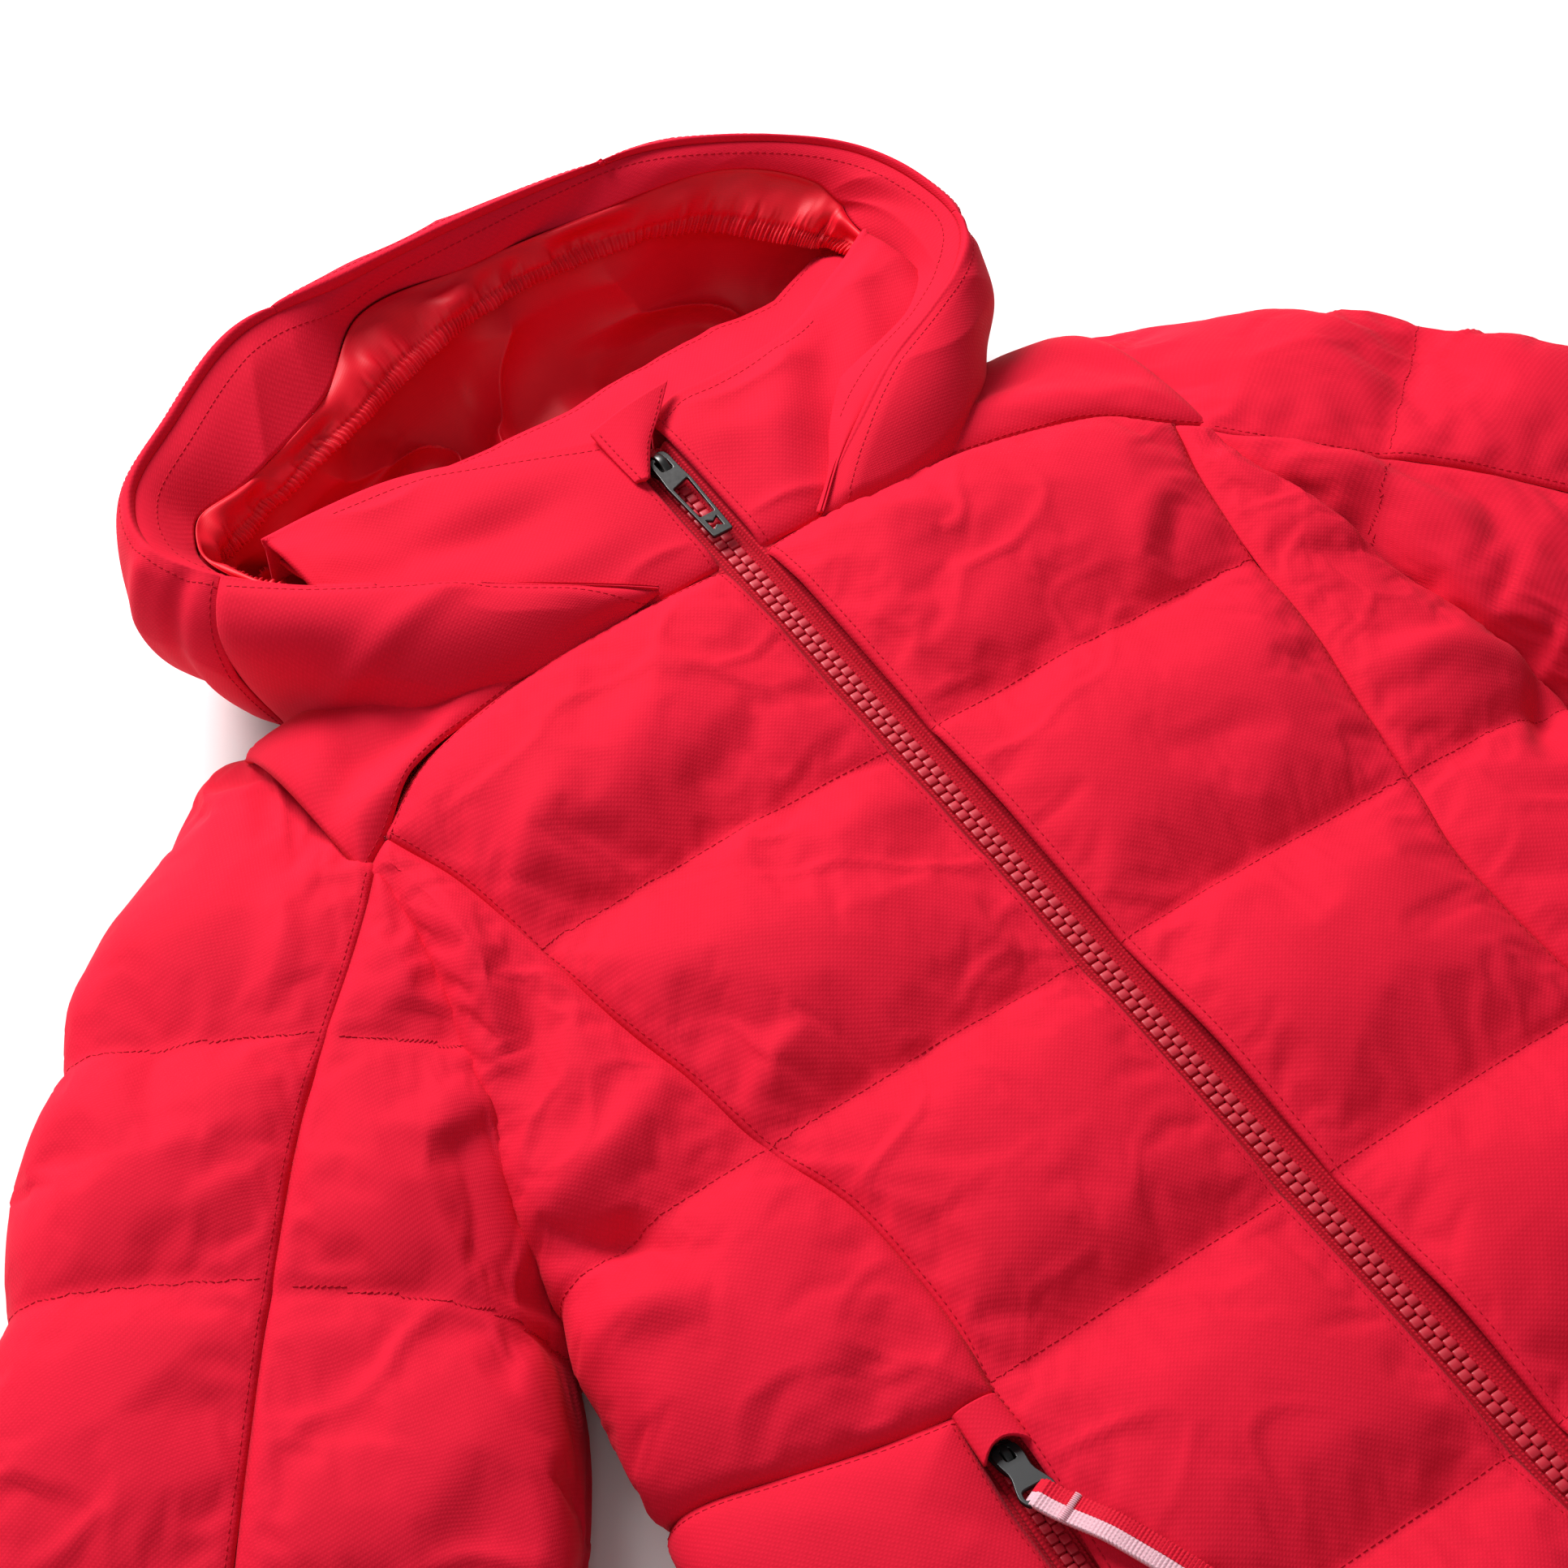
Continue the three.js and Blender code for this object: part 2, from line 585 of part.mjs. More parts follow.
for (const [hand, side] of [["left", 1], ["right", -1]]) {
  const sleeve = new THREE.Group();
  sleeve.position.set(side * armholeX, armholeMidY, 0);
  sleeve.rotation.z = side * sleeveAngle;
  frame.add(sleeve);
  const start = (s) => read(sleeveStart, s);
  const headEnd = arc(turnRadius - seamGap);
  const lowerStart = arc(turnRadius + seamGap);
  add(`sleeve_head_front_${hand}`, sleeveShell(side, true, start, headEnd, 5, 0, shellThick), red, sleeve);
  add(`sleeve_head_back_${hand}`, sleeveShell(side, false, start, headEnd, 5, 0, shellThick), red, sleeve);
  add(`sleeve_front_${hand}`, sleeveShell(side, true, lowerStart, end(cuffStart - seamGap), 7, 0, shellThick), red, sleeve);
  add(`sleeve_back_${hand}`, sleeveShell(side, false, lowerStart, end(cuffStart - seamGap), 7, 0, shellThick), red, sleeve);
  add(
    `sleeve_lining_${hand}`,
    panel(24, 5, (u, v, w) => {
      const angle = mix(-Math.PI / 2 + 0.02, (3 * Math.PI) / 2 - 0.02, u);
      const t = mix(turnRadius + 3, cuffStart - 5, v);
      const [x, z] = sleevePoint(angle, shellThick + 3 * seamGap + liningThick * w, t);
      return [side * x, -t, z];
    }),
    lining,
    sleeve,
  );
  const cuffMiddle = sleeveLength - cuffLength / 2;
  const loop = (inset) => Array.from({ length: 24 }, (_, i) => sleevePoint((i / 12) * Math.PI, inset, cuffMiddle));
  add(`cuff_${hand}`, along(loop(0), -sleeveLength, -cuffStart, loop(shellThick)), red, sleeve);
  const cuffTop = read(sleeveDepth, sleeveLength - cuffLength / 2);
  const tabY = -sleeveLength + 14;
  add(`cuff_tab_${hand}`, block(-32, -32 + tabLength, tabY, tabY + tabWidth, cuffTop + seamGap, cuffTop + seamGap + tabThick), red, sleeve);
}

// The origin: middle of the footprint, on the surface.
const box = new THREE.Box3().setFromObject(frame, true);
const centre = box.getCenter(new THREE.Vector3());
frame.position.set(-centre.x, -centre.y, -box.min.z);

export default jacket;
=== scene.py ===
# A padded ski jacket lying on its back, in metres, with the zip along Y and the hood at +Y.
# Shapes are worked out in millimetres, with y measured from the first quilt row of the chest.
import bpy
import numpy as np
from mathutils import Matrix, Vector


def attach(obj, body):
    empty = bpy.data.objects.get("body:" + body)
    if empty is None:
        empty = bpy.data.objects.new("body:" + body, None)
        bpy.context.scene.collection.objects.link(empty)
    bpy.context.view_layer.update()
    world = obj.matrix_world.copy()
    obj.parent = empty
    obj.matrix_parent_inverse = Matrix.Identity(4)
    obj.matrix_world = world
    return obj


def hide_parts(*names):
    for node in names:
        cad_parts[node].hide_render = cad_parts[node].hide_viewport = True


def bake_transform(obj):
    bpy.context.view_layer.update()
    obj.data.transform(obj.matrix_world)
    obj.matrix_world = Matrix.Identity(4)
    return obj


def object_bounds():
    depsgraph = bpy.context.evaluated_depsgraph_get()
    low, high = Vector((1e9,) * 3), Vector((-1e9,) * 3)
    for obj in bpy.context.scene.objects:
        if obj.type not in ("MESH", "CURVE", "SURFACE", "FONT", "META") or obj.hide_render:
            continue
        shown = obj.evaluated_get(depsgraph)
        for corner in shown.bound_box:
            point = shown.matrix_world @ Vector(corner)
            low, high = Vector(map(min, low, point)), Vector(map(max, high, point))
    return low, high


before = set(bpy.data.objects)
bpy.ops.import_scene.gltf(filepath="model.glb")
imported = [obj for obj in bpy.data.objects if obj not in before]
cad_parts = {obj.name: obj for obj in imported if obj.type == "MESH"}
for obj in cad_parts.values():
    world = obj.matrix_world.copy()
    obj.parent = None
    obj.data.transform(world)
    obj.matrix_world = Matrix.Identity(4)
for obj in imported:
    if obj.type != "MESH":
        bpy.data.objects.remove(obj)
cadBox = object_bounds()
hemY = -540.0                                   # hem, below the first quilt row
rowY = cadBox[0].y - hemY * 0.001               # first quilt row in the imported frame
sides = (("left", 1), ("right", -1))


# numbers and curves
# millimetres from the first quilt row -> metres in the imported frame
def place(points):
    out = np.array(points, float) * 0.001
    out[..., 1] += rowY
    return out


def smooth(x):
    x = np.clip(x, 0, 1)
    return x * x * (3 - 2 * x)


# 1 - exp(-(d / reach)^1.3): nothing on a seam, full a few reaches away
def pillow(d, reach):
    return 1 - np.exp(-(np.maximum(d, 0) / reach) ** 1.3)


# cubic Hermite through the points, with t from 0 to 1 in chord length
def curve(points, t):
    p = np.array(points, float)
    t = np.asarray(t, float)
    knots = np.r_[0, np.cumsum(np.linalg.norm(np.diff(p, axis=0), axis=1) + 1e-9)]
    knots /= knots[-1]
    return hermite(knots, p, t)


# cubic Hermite over given knots, slopes by finite differences
def hermite(knots, p, t):
    if len(p) < 3:
        return p[0] + (p[-1] - p[0]) * t[..., None]
    slope = np.gradient(p, knots, axis=0)
    i = np.clip(np.searchsorted(knots, t, "right") - 1, 0, len(knots) - 2)
    h = (knots[i + 1] - knots[i])[..., None]
    x = (t - knots[i])[..., None] / h
    return ((1 + 2 * x) * (1 - x) ** 2 * p[i] + x * (1 - x) ** 2 * h * slope[i]
            + x * x * (3 - 2 * x) * p[i + 1] + x * x * (x - 1) * h * slope[i + 1])


# Coons patch: both pairs of edges ruled across, added, less the ruled corners
def coons(south, north, west, east, n, m):
    s, t = np.linspace(0, 1, n), np.linspace(0, 1, m)
    low, high = curve(south, s)[:, None], curve(north, s)[:, None]
    lft, rgt = curve(west, t)[None], curve(east, t)[None]
    s, t = s[:, None, None], t[None, :, None]
    corner = ((1 - s) * (1 - t) * low[0, 0] + s * (1 - t) * low[-1, 0]
              + (1 - s) * t * high[0, 0] + s * t * high[-1, 0])
    return (1 - t) * low + t * high + (1 - s) * lft + s * rgt - corner


# value noise: random numbers on a unit lattice, eased between them; -1 to 1
def softNoise(x, y, seed):
    table = np.random.default_rng(seed).uniform(-1, 1, (64, 64))
    xi, yi = np.floor(x).astype(int), np.floor(y).astype(int)
    fx, fy = smooth(x - xi), smooth(y - yi)
    a, b = table[xi % 64, yi % 64], table[(xi + 1) % 64, yi % 64]
    c, d = table[xi % 64, (yi + 1) % 64], table[(xi + 1) % 64, (yi + 1) % 64]
    return (a * (1 - fx) + b * fx) * (1 - fy) + (c * (1 - fx) + d * fx) * fy


# 1 - |noise| squared: narrow crests between wide hollows, 0 to 1
def ridges(x, y, seed):
    return (1 - np.abs(softNoise(x, y, seed))) ** 3


# three coordinates of a grid, each spread over both directions
def sheet(x, y, z):
    return np.stack(np.broadcast_arrays(x, y, z), -1)


# a column and a row of even steps: the two parameters of a grid
def steps(a0, a1, n, b0, b1, m):
    return np.linspace(a0, a1, n)[:, None], np.linspace(b0, b1, m)[None]


# turn about Z in the plane, then move to a spot
def turned(x, y, angle, spot):
    c, s = np.cos(angle), np.sin(angle)
    return spot[0] + x * c - y * s, spot[1] + x * s + y * c


def turnAxes(angle):
    c, s = np.cos(angle), np.sin(angle)
    return np.array([[c, s, 0], [-s, c, 0], [0, 0, 1]])


# unit cross product of the two grid directions
def gridNormals(p, wrap=False):
    du = (np.roll(p, -1, 0) - np.roll(p, 1, 0)) if wrap else np.gradient(p, axis=0)
    n = np.cross(du, np.gradient(p, axis=1))
    return n / (np.linalg.norm(n, axis=-1, keepdims=True) + 1e-9)


# length along a grid direction from its first row
def runs(p, axis):
    step = np.linalg.norm(np.diff(p, axis=axis), axis=-1)
    zero = np.zeros_like(np.take(step, [0], axis))
    return np.concatenate([zero, np.cumsum(step, axis)], axis)


# distance along the grid to the first and last row of each direction
def edgeDistances(p):
    u, v = runs(p, 0), runs(p, 1)
    return u, u[-1:] - u, v, v[:, -1:] - v


# gaussian ridges: height * exp(-(distance / width)^2) along a segment, tapered to its ends
def foldHeight(p, folds):
    out = np.zeros(p.shape[:2])
    for x0, y0, x1, y1, width, height in folds:
        ax, ay = x1 - x0, y1 - y0
        span = ax * ax + ay * ay
        t = ((p[..., 0] - x0) * ax + (p[..., 1] - y0) * ay) / span
        c = np.clip(t, 0, 1)
        bend = np.sin(c * np.pi) * width * 0.5
        d = np.hypot(p[..., 0] - x0 - c * ax + bend * ay / span ** 0.5,
                     p[..., 1] - y0 - c * ay - bend * ax / span ** 0.5)
        out += 1.35 * height * np.exp(-(d / width) ** 2) * (0.35 + 0.65 * np.sin(np.clip(t, 0, 1) * np.pi))
    return out


# meshes
def meshObject(name, verts, quads, material, uvs=None):
    mesh = bpy.data.meshes.new(name)
    quads = np.ascontiguousarray(quads, dtype=np.int32)
    mesh.vertices.add(len(verts))
    mesh.vertices.foreach_set("co", np.ascontiguousarray(verts, dtype=np.float32).ravel())
    mesh.loops.add(quads.size)
    mesh.loops.foreach_set("vertex_index", quads.ravel())
    mesh.polygons.add(len(quads))
    mesh.polygons.foreach_set("loop_start", np.arange(len(quads), dtype=np.int32) * 4)
    mesh.polygons.foreach_set("use_smooth", np.ones(len(quads), bool))
    mesh.update(calc_edges=True)
    if uvs is not None:
        layer = mesh.uv_layers.new(name="UVMap")
        layer.data.foreach_set("uv", np.ascontiguousarray(uvs[quads.ravel()], dtype=np.float32).ravel())
    mesh.validate()
    mesh.materials.append(material)
    ob = bpy.data.objects.new(name, mesh)
    bpy.context.scene.collection.objects.link(ob)
    return ob


# quads of an n by m grid; wrap closes the first direction, caps close the two end rings
def gridQuads(n, m, wrap=False, caps=False):
    i = np.arange(n if wrap else n - 1)[:, None]
    j = np.arange(m - 1)[None]
    k = (i + 1) % n
    quads = np.stack([i * m + j, k * m + j, k * m + j + 1, i * m + j + 1], -1).reshape(-1, 4)
    if caps:
        h = np.arange(n // 2 - 1)
        ring = np.stack([h, n - 1 - h, n - 2 - h, h + 1], -1)
        quads = np.concatenate([quads, ring * m, ring[:, ::-1] * m + m - 1])
    return quads


# the body a piece moves with, and the imported nodes it stands for
def settle(ob, body, nodes=()):
    if body:
        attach(ob, body)
    if nodes:
        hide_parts(*nodes)
    return ob


# a grid of points in millimetres made a walled mesh, with its UV map in metres along the cloth
def surface(name, p, material, body, thick, nodes=(), wrap=False):
    n, m = p.shape[:2]
    u, v = runs(p, 0) * 0.001, runs(p, 1) * 0.001
    uvs = np.stack(np.broadcast_arrays(u - u[n // 2][None], v.mean(0)[None]), -1).reshape(-1, 2)
    ob = meshObject(name, place(p).reshape(-1, 3), gridQuads(n, m, wrap), material, uvs)
    wall = ob.modifiers.new("wall", "SOLIDIFY")
    wall.thickness, wall.offset, wall.use_even_offset = thick * 0.001, -1, False
    return settle(ob, body, nodes)


# turns the grid round when its faces point away from the given direction
def facing(p, outward):
    n = gridNormals(p).reshape(-1, 3).mean(0)
    return p if np.dot(n, outward) > 0 else p[::-1]


# bilinear point on a grid at fractional indices
def onGrid(p, a, b):
    n, m = p.shape[:2]
    a, b = np.clip(a, 0, n - 1.001), np.clip(b, 0, m - 1.001)
    i, j = a.astype(int), b.astype(int)
    fa, fb = (a - i)[:, None], (b - j)[:, None]
    return ((p[i, j] * (1 - fa) + p[i + 1, j] * fa) * (1 - fb)
            + (p[i, j + 1] * (1 - fa) + p[i + 1, j + 1] * fa) * fb)


stitch = {"pitch": 2.85, "length": 2.0, "thick": 0.40, "lift": 0.03}
threads = {}                                    # body or blend key -> list of stitch corners


# a running stitch along a path of fractional grid indices: one small six-sided capsule every pitch
def sew(key, p, a, b):
    line, normal = onGrid(p, a, b), onGrid(gridNormals(p), a, b)
    step = np.r_[0, np.cumsum(np.linalg.norm(np.diff(line, axis=0), axis=1))]
    count = int(step[-1] / stitch["pitch"])
    if count < 2:
        return
    at = (np.arange(count) + 0.5) * stitch["pitch"]
    along = lambda values, t: np.stack([np.interp(t, step, values[:, k]) for k in range(3)], -1)
    mid, up, run = along(line, at), along(normal, at), along(line, at + 0.6) - along(line, at - 0.6)
    up /= np.linalg.norm(up, axis=1, keepdims=True) + 1e-9
    run /= np.linalg.norm(run, axis=1, keepdims=True) + 1e-9
    side = np.cross(up, run)
    turn = np.arange(6) / 6 * 2 * np.pi
    reach = np.array([-0.5, -0.38, 0.38, 0.5]) * stitch["length"]
    girth = np.array([0.45, 1, 1, 0.45]) * stitch["thick"] * 0.5
    lift = np.array([-0.3, 0.0, 0.0, -0.3]) * stitch["thick"]
    a = np.cos(turn)[:, None] * girth[None] * 1.25
    b = np.sin(turn)[:, None] * girth[None] + lift[None] + stitch["lift"]
    pts = (mid[:, None, None] + side[:, None, None] * a[None, ..., None]
           + up[:, None, None] * b[None, ..., None] + run[:, None, None] * reach[None, None, :, None])
    threads.setdefault(key, []).append(pts.reshape(count, 24, 3))


# second index at which the run along each line a of a grid reaches a length
def indexAt(step, a, length):
    rows = a.round().astype(int)
    length = np.broadcast_to(length, rows.shape)
    return np.array([np.interp(q, step[i], np.arange(step.shape[1])) for i, q in zip(rows, length)])


# topstitch along chosen edges (w, e, s, n) of a panel, a few millimetres in
def sewEdges(key, p, edges, inset):
    n, m = p.shape[:2]
    u, v = runs(p, 0), runs(p, 1)
    t = np.linspace(0.002, 0.998, 400)
    for e in edges:
        if e in "we":
            width = u[-1] / (n - 1)
            b = t * (m - 1)
            a = inset / np.interp(b, np.arange(m), width)
            sew(key, p, a if e == "w" else n - 1 - a, b)
        else:
            height = v[:, -1] / (m - 1)
            a = t * (n - 1)
            b = inset / np.interp(a, np.arange(n), height)
            sew(key, p, a, b if e == "s" else m - 1 - b)


# many small closed shapes of the same make as one mesh: (copies, corners, 3) in millimetres
def copies(name, pts, quads, material):
    faces = (quads[None] + (np.arange(len(pts)) * pts.shape[1])[:, None, None]).reshape(-1, 4)
    return meshObject(name, place(pts.reshape(-1, 3)), faces, material)


# copies of a block at many places, turned and scaled by the given axes
def stamp(name, block, spots, axes, material, body, nodes=()):
    pts = spots[:, None] + (block[0] @ axes)[None]
    settle(copies(name, pts, block[1], material), body, nodes)


# superellipse rings stacked on each other: a small block with eased corners
def lathedBlock(width, length, height, power, turns, levels, shrink):
    a = np.arange(turns) / turns * 2 * np.pi + np.pi / turns
    c, s = np.cos(a), np.sin(a)
    x = np.sign(c) * np.abs(c) ** (2 / power) * width / 2
    y = np.sign(s) * np.abs(s) ** (2 / power) * length / 2
    lv, sh = np.array(levels), np.array(shrink)
    pts = sheet(x[:, None] * sh, y[:, None] * sh, lv * height)
    return pts.reshape(-1, 3), gridQuads(turns, len(lv), wrap=True, caps=True)


# materials
def nodeMaterial(name):
    mat = bpy.data.materials.new(name)
    mat.use_nodes = True
    nt = mat.node_tree
    return mat, nt, nt.nodes["Principled BSDF"]


def mixColor(nt, factor, low, high):
    mix = nt.nodes.new("ShaderNodeMix")
    mix.data_type = "RGBA"
    nt.links.new(factor, mix.inputs["Factor"])
    mix.inputs["A"].default_value = (*low, 1)
    mix.inputs["B"].default_value = (*high, 1)
    return mix.outputs["Result"]


def noise(nt, vector, scale, detail=3.0):
    tex = nt.nodes.new("ShaderNodeTexNoise")
    tex.inputs["Scale"].default_value = scale
    tex.inputs["Detail"].default_value = detail
    nt.links.new(vector, tex.inputs["Vector"])
    return tex.outputs["Fac"]


# sine bands of a period in metres, turned in the plane of the cloth
def bands(nt, vector, period, turn, distort=0.0):
    spin = nt.nodes.new("ShaderNodeMapping")
    spin.inputs["Rotation"].default_value = (0, 0, turn)
    nt.links.new(vector, spin.inputs["Vector"])
    tex = nt.nodes.new("ShaderNodeTexWave")
    tex.inputs["Scale"].default_value = 0.31416 / period
    tex.inputs["Distortion"].default_value = distort
    nt.links.new(spin.outputs["Vector"], tex.inputs["Vector"])
    return tex.outputs["Fac"]


def math(nt, op, a, b):
    node = nt.nodes.new("ShaderNodeMath")
    node.operation = op
    for i, v in enumerate((a, b)):
        if isinstance(v, (int, float)):
            node.inputs[i].default_value = v
        else:
            nt.links.new(v, node.inputs[i])
    return node.outputs[0]


def bump(nt, shader, height, distance, strength):
    node = nt.nodes.new("ShaderNodeBump")
    node.inputs["Distance"].default_value = distance
    node.inputs["Strength"].default_value = strength
    nt.links.new(height, node.inputs["Height"])
    nt.links.new(node.outputs["Normal"], shader.inputs["Normal"])


# roughness between two ends, following a value from 0 to 1
def roughness(nt, shader, value, ends):
    node = nt.nodes.new("ShaderNodeMapRange")
    node.inputs["To Min"].default_value, node.inputs["To Max"].default_value = ends
    nt.links.new(value, node.inputs["Value"])
    nt.links.new(node.outputs["Result"], shader.inputs["Roughness"])


# two sets of bands across each other for the yarns, slow noise for the shade of the cloth
def clothMaterial(name, light, dark, period, turns, depth, rough, sheen, grain=0.6, gloss=0.07):
    mat, nt, shader = nodeMaterial(name)
    coord = nt.nodes.new("ShaderNodeTexCoord")
    uv, ob = coord.outputs["UV"], coord.outputs["Object"]
    warp = bands(nt, uv, period, turns[0])
    weft = bands(nt, uv, period * 1.35, turns[1])
    yarn = math(nt, "MULTIPLY", warp, weft)
    fuzz = noise(nt, uv, 0.75 / period, 2.0)
    cloud = noise(nt, ob, 26.0, 3.0)
    tone = math(nt, "ADD", math(nt, "MULTIPLY", yarn, grain), math(nt, "MULTIPLY", cloud, 1 - grain))
    tone = math(nt, "ADD", math(nt, "MULTIPLY", tone, 0.65), math(nt, "MULTIPLY", fuzz, 0.35))
    nt.links.new(mixColor(nt, tone, dark, light), shader.inputs["Base Color"])
    roughness(nt, shader, tone, rough)
    shader.inputs["Sheen Weight"].default_value = sheen
    shader.inputs["Sheen Roughness"].default_value = 0.45
    shader.inputs["Sheen Tint"].default_value = (1.0, 0.45, 0.5, 1)
    shader.inputs["Specular IOR Level"].default_value = gloss
    height = math(nt, "ADD", math(nt, "MULTIPLY", yarn, 0.7), math(nt, "MULTIPLY", fuzz, 0.8))
    bump(nt, shader, height, depth, 0.7)
    return mat


# plain moulded or plated finish with faint blotches and a fine grain
def hardMaterial(name, color, metallic, rough, scratch, coat=0.0):
    mat, nt, shader = nodeMaterial(name)
    ob = nt.nodes.new("ShaderNodeTexCoord").outputs["Object"]
    blot = noise(nt, ob, 320.0, 4.0)
    low, high = [c * 0.8 for c in color], [c * 1.15 for c in color]
    nt.links.new(mixColor(nt, blot, low, high), shader.inputs["Base Color"])
    roughness(nt, shader, noise(nt, ob, 900.0, 2.0), rough)
    shader.inputs["Metallic"].default_value = metallic
    shader.inputs["Coat Weight"].default_value = coat
    shader.inputs["Coat Roughness"].default_value = 0.12
    bump(nt, shader, noise(nt, ob, 2400.0, 2.0), 0.00004, scratch)
    return mat


deg = np.pi / 180
shell = clothMaterial("shellTwill", (0.82, 0.013, 0.047), (0.56, 0.007, 0.023), 0.00118, (40 * deg, -52 * deg),
                      0.00011, (0.72, 0.88), 0.03, grain=0.35)
satin = clothMaterial("liningSatin", (0.80, 0.008, 0.026), (0.66, 0.005, 0.017), 0.0006, (0, 90 * deg),
                      0.00003, (0.44, 0.54), 0.0, gloss=0.2)
tape = clothMaterial("zipTape", (0.78, 0.012, 0.036), (0.26, 0.003, 0.010), 0.0015, (90 * deg, 0),
                     0.00034, (0.7, 0.85), 0.05, 0.85)
thread = clothMaterial("seamThread", (0.54, 0.007, 0.024), (0.44, 0.005, 0.018), 0.0003, (0, 90 * deg),
                       0.00003, (0.5, 0.65), 0.0)
webRed = clothMaterial("webbingRed", (0.78, 0.012, 0.040), (0.60, 0.007, 0.024), 0.0013, (0, 90 * deg),
                       0.00025, (0.6, 0.75), 0.1, 0.8)
webPink = clothMaterial("webbingPale", (0.86, 0.56, 0.62), (0.76, 0.40, 0.47), 0.0013, (0, 90 * deg),
                        0.00025, (0.6, 0.75), 0.1, 0.8)
loopCloth = clothMaterial("loopTape", (0.45, 0.01, 0.025), (0.33, 0.006, 0.015), 0.0009, (45 * deg, -45 * deg),
                          0.0002, (0.6, 0.8), 0.1)
gunmetal = hardMaterial("gunmetal", (0.085, 0.083, 0.082), 1.0, (0.30, 0.42), 0.08)
blackMetal = hardMaterial("blackMetal", (0.012, 0.012, 0.013), 0.35, (0.34, 0.46), 0.08, 0.12)
teethPlastic = hardMaterial("teethPlastic", (0.52, 0.008, 0.026), 0.0, (0.42, 0.52), 0.1, 0.05)
print("materials done")


# the body of the jacket
torso = {"depth": 75.0, "rows": (0.0, -108.0, -216.0, -324.0, -432.0), "puff": 9.5, "reach": 17.0,
         "widths": ((-540, 240), (-216, 227), (-109, 212), (60, 206), (150, 202)), "step": 2.3}
princess = ((146, -540), (137, -400), (132, -275), (128, -250), (126, -221), (122.5, -200), (121.5, -170),
            (123, -143), (132.5, -108), (138.5, -75), (146, -40), (152, 1), (159, 40), (169, 69.5))
armhole = ((212, -109), (210, -86), (205, -60), (198, -36), (192, -15), (186.5, 5), (182, 34), (181, 61.5))
yokeSeam = ((8.7, 104), (50, 103.5), (87, 101), (120, 95), (147, 86), (169, 69.5))
pocketSeam = ((126, -221), (142, -219), (165, -214), (195, -204), (218, -194), (230, -187))
placket = 8.7

arc = np.linspace(0, np.pi / 2, 600)
girthX, girthZ = np.sqrt(np.sin(arc)), np.sqrt(np.cos(arc))
girthRun = np.r_[0, np.cumsum(np.hypot(np.diff(girthX * 222), np.diff(girthZ * torso["depth"] / 2)))]


def halfWidth(y):
    table = np.array(torso["widths"], float)
    return np.interp(y, table[:, 0], table[:, 1])


# plan position -> (length round the section, y)
def toGirth(points):
    p = np.array(points, float)
    g = np.interp(np.abs(p[:, 0]) / halfWidth(p[:, 1]), girthX, girthRun)
    return np.stack([g, p[:, 1]], -1)


# superellipse section x = w sqrt(sin a), z = d/2 (1 + sqrt(cos a)); it thins to the shoulder by sqrt(1 - t^3)
def torsoSurface(g, y, side, under=False):
    x = np.interp(np.abs(g), girthRun, girthX) * halfWidth(y)
    top = np.interp(np.abs(g), girthRun, girthZ) * torso["depth"] / 2
    slope = np.sqrt(1 - np.clip((y - 66) / 94, 0, 0.999) ** 2.6)
    z = torso["depth"] / 2 * (1 if under else 0.35 + 0.65 * slope) + (-1 if under else 1) * top * slope
    return np.stack([side * np.sign(g + 1e-9) * x, y + 0 * g, z], -1)


# distance to the nearest quilt row, and which side of which row it is on
def rowDistance(along, rows):
    gap = along[..., None] - np.array(rows)
    k = np.abs(gap).argmin(-1)
    near = np.take_along_axis(gap, k[..., None], -1)[..., 0]
    return np.abs(near), k * 2 + (near > 0)


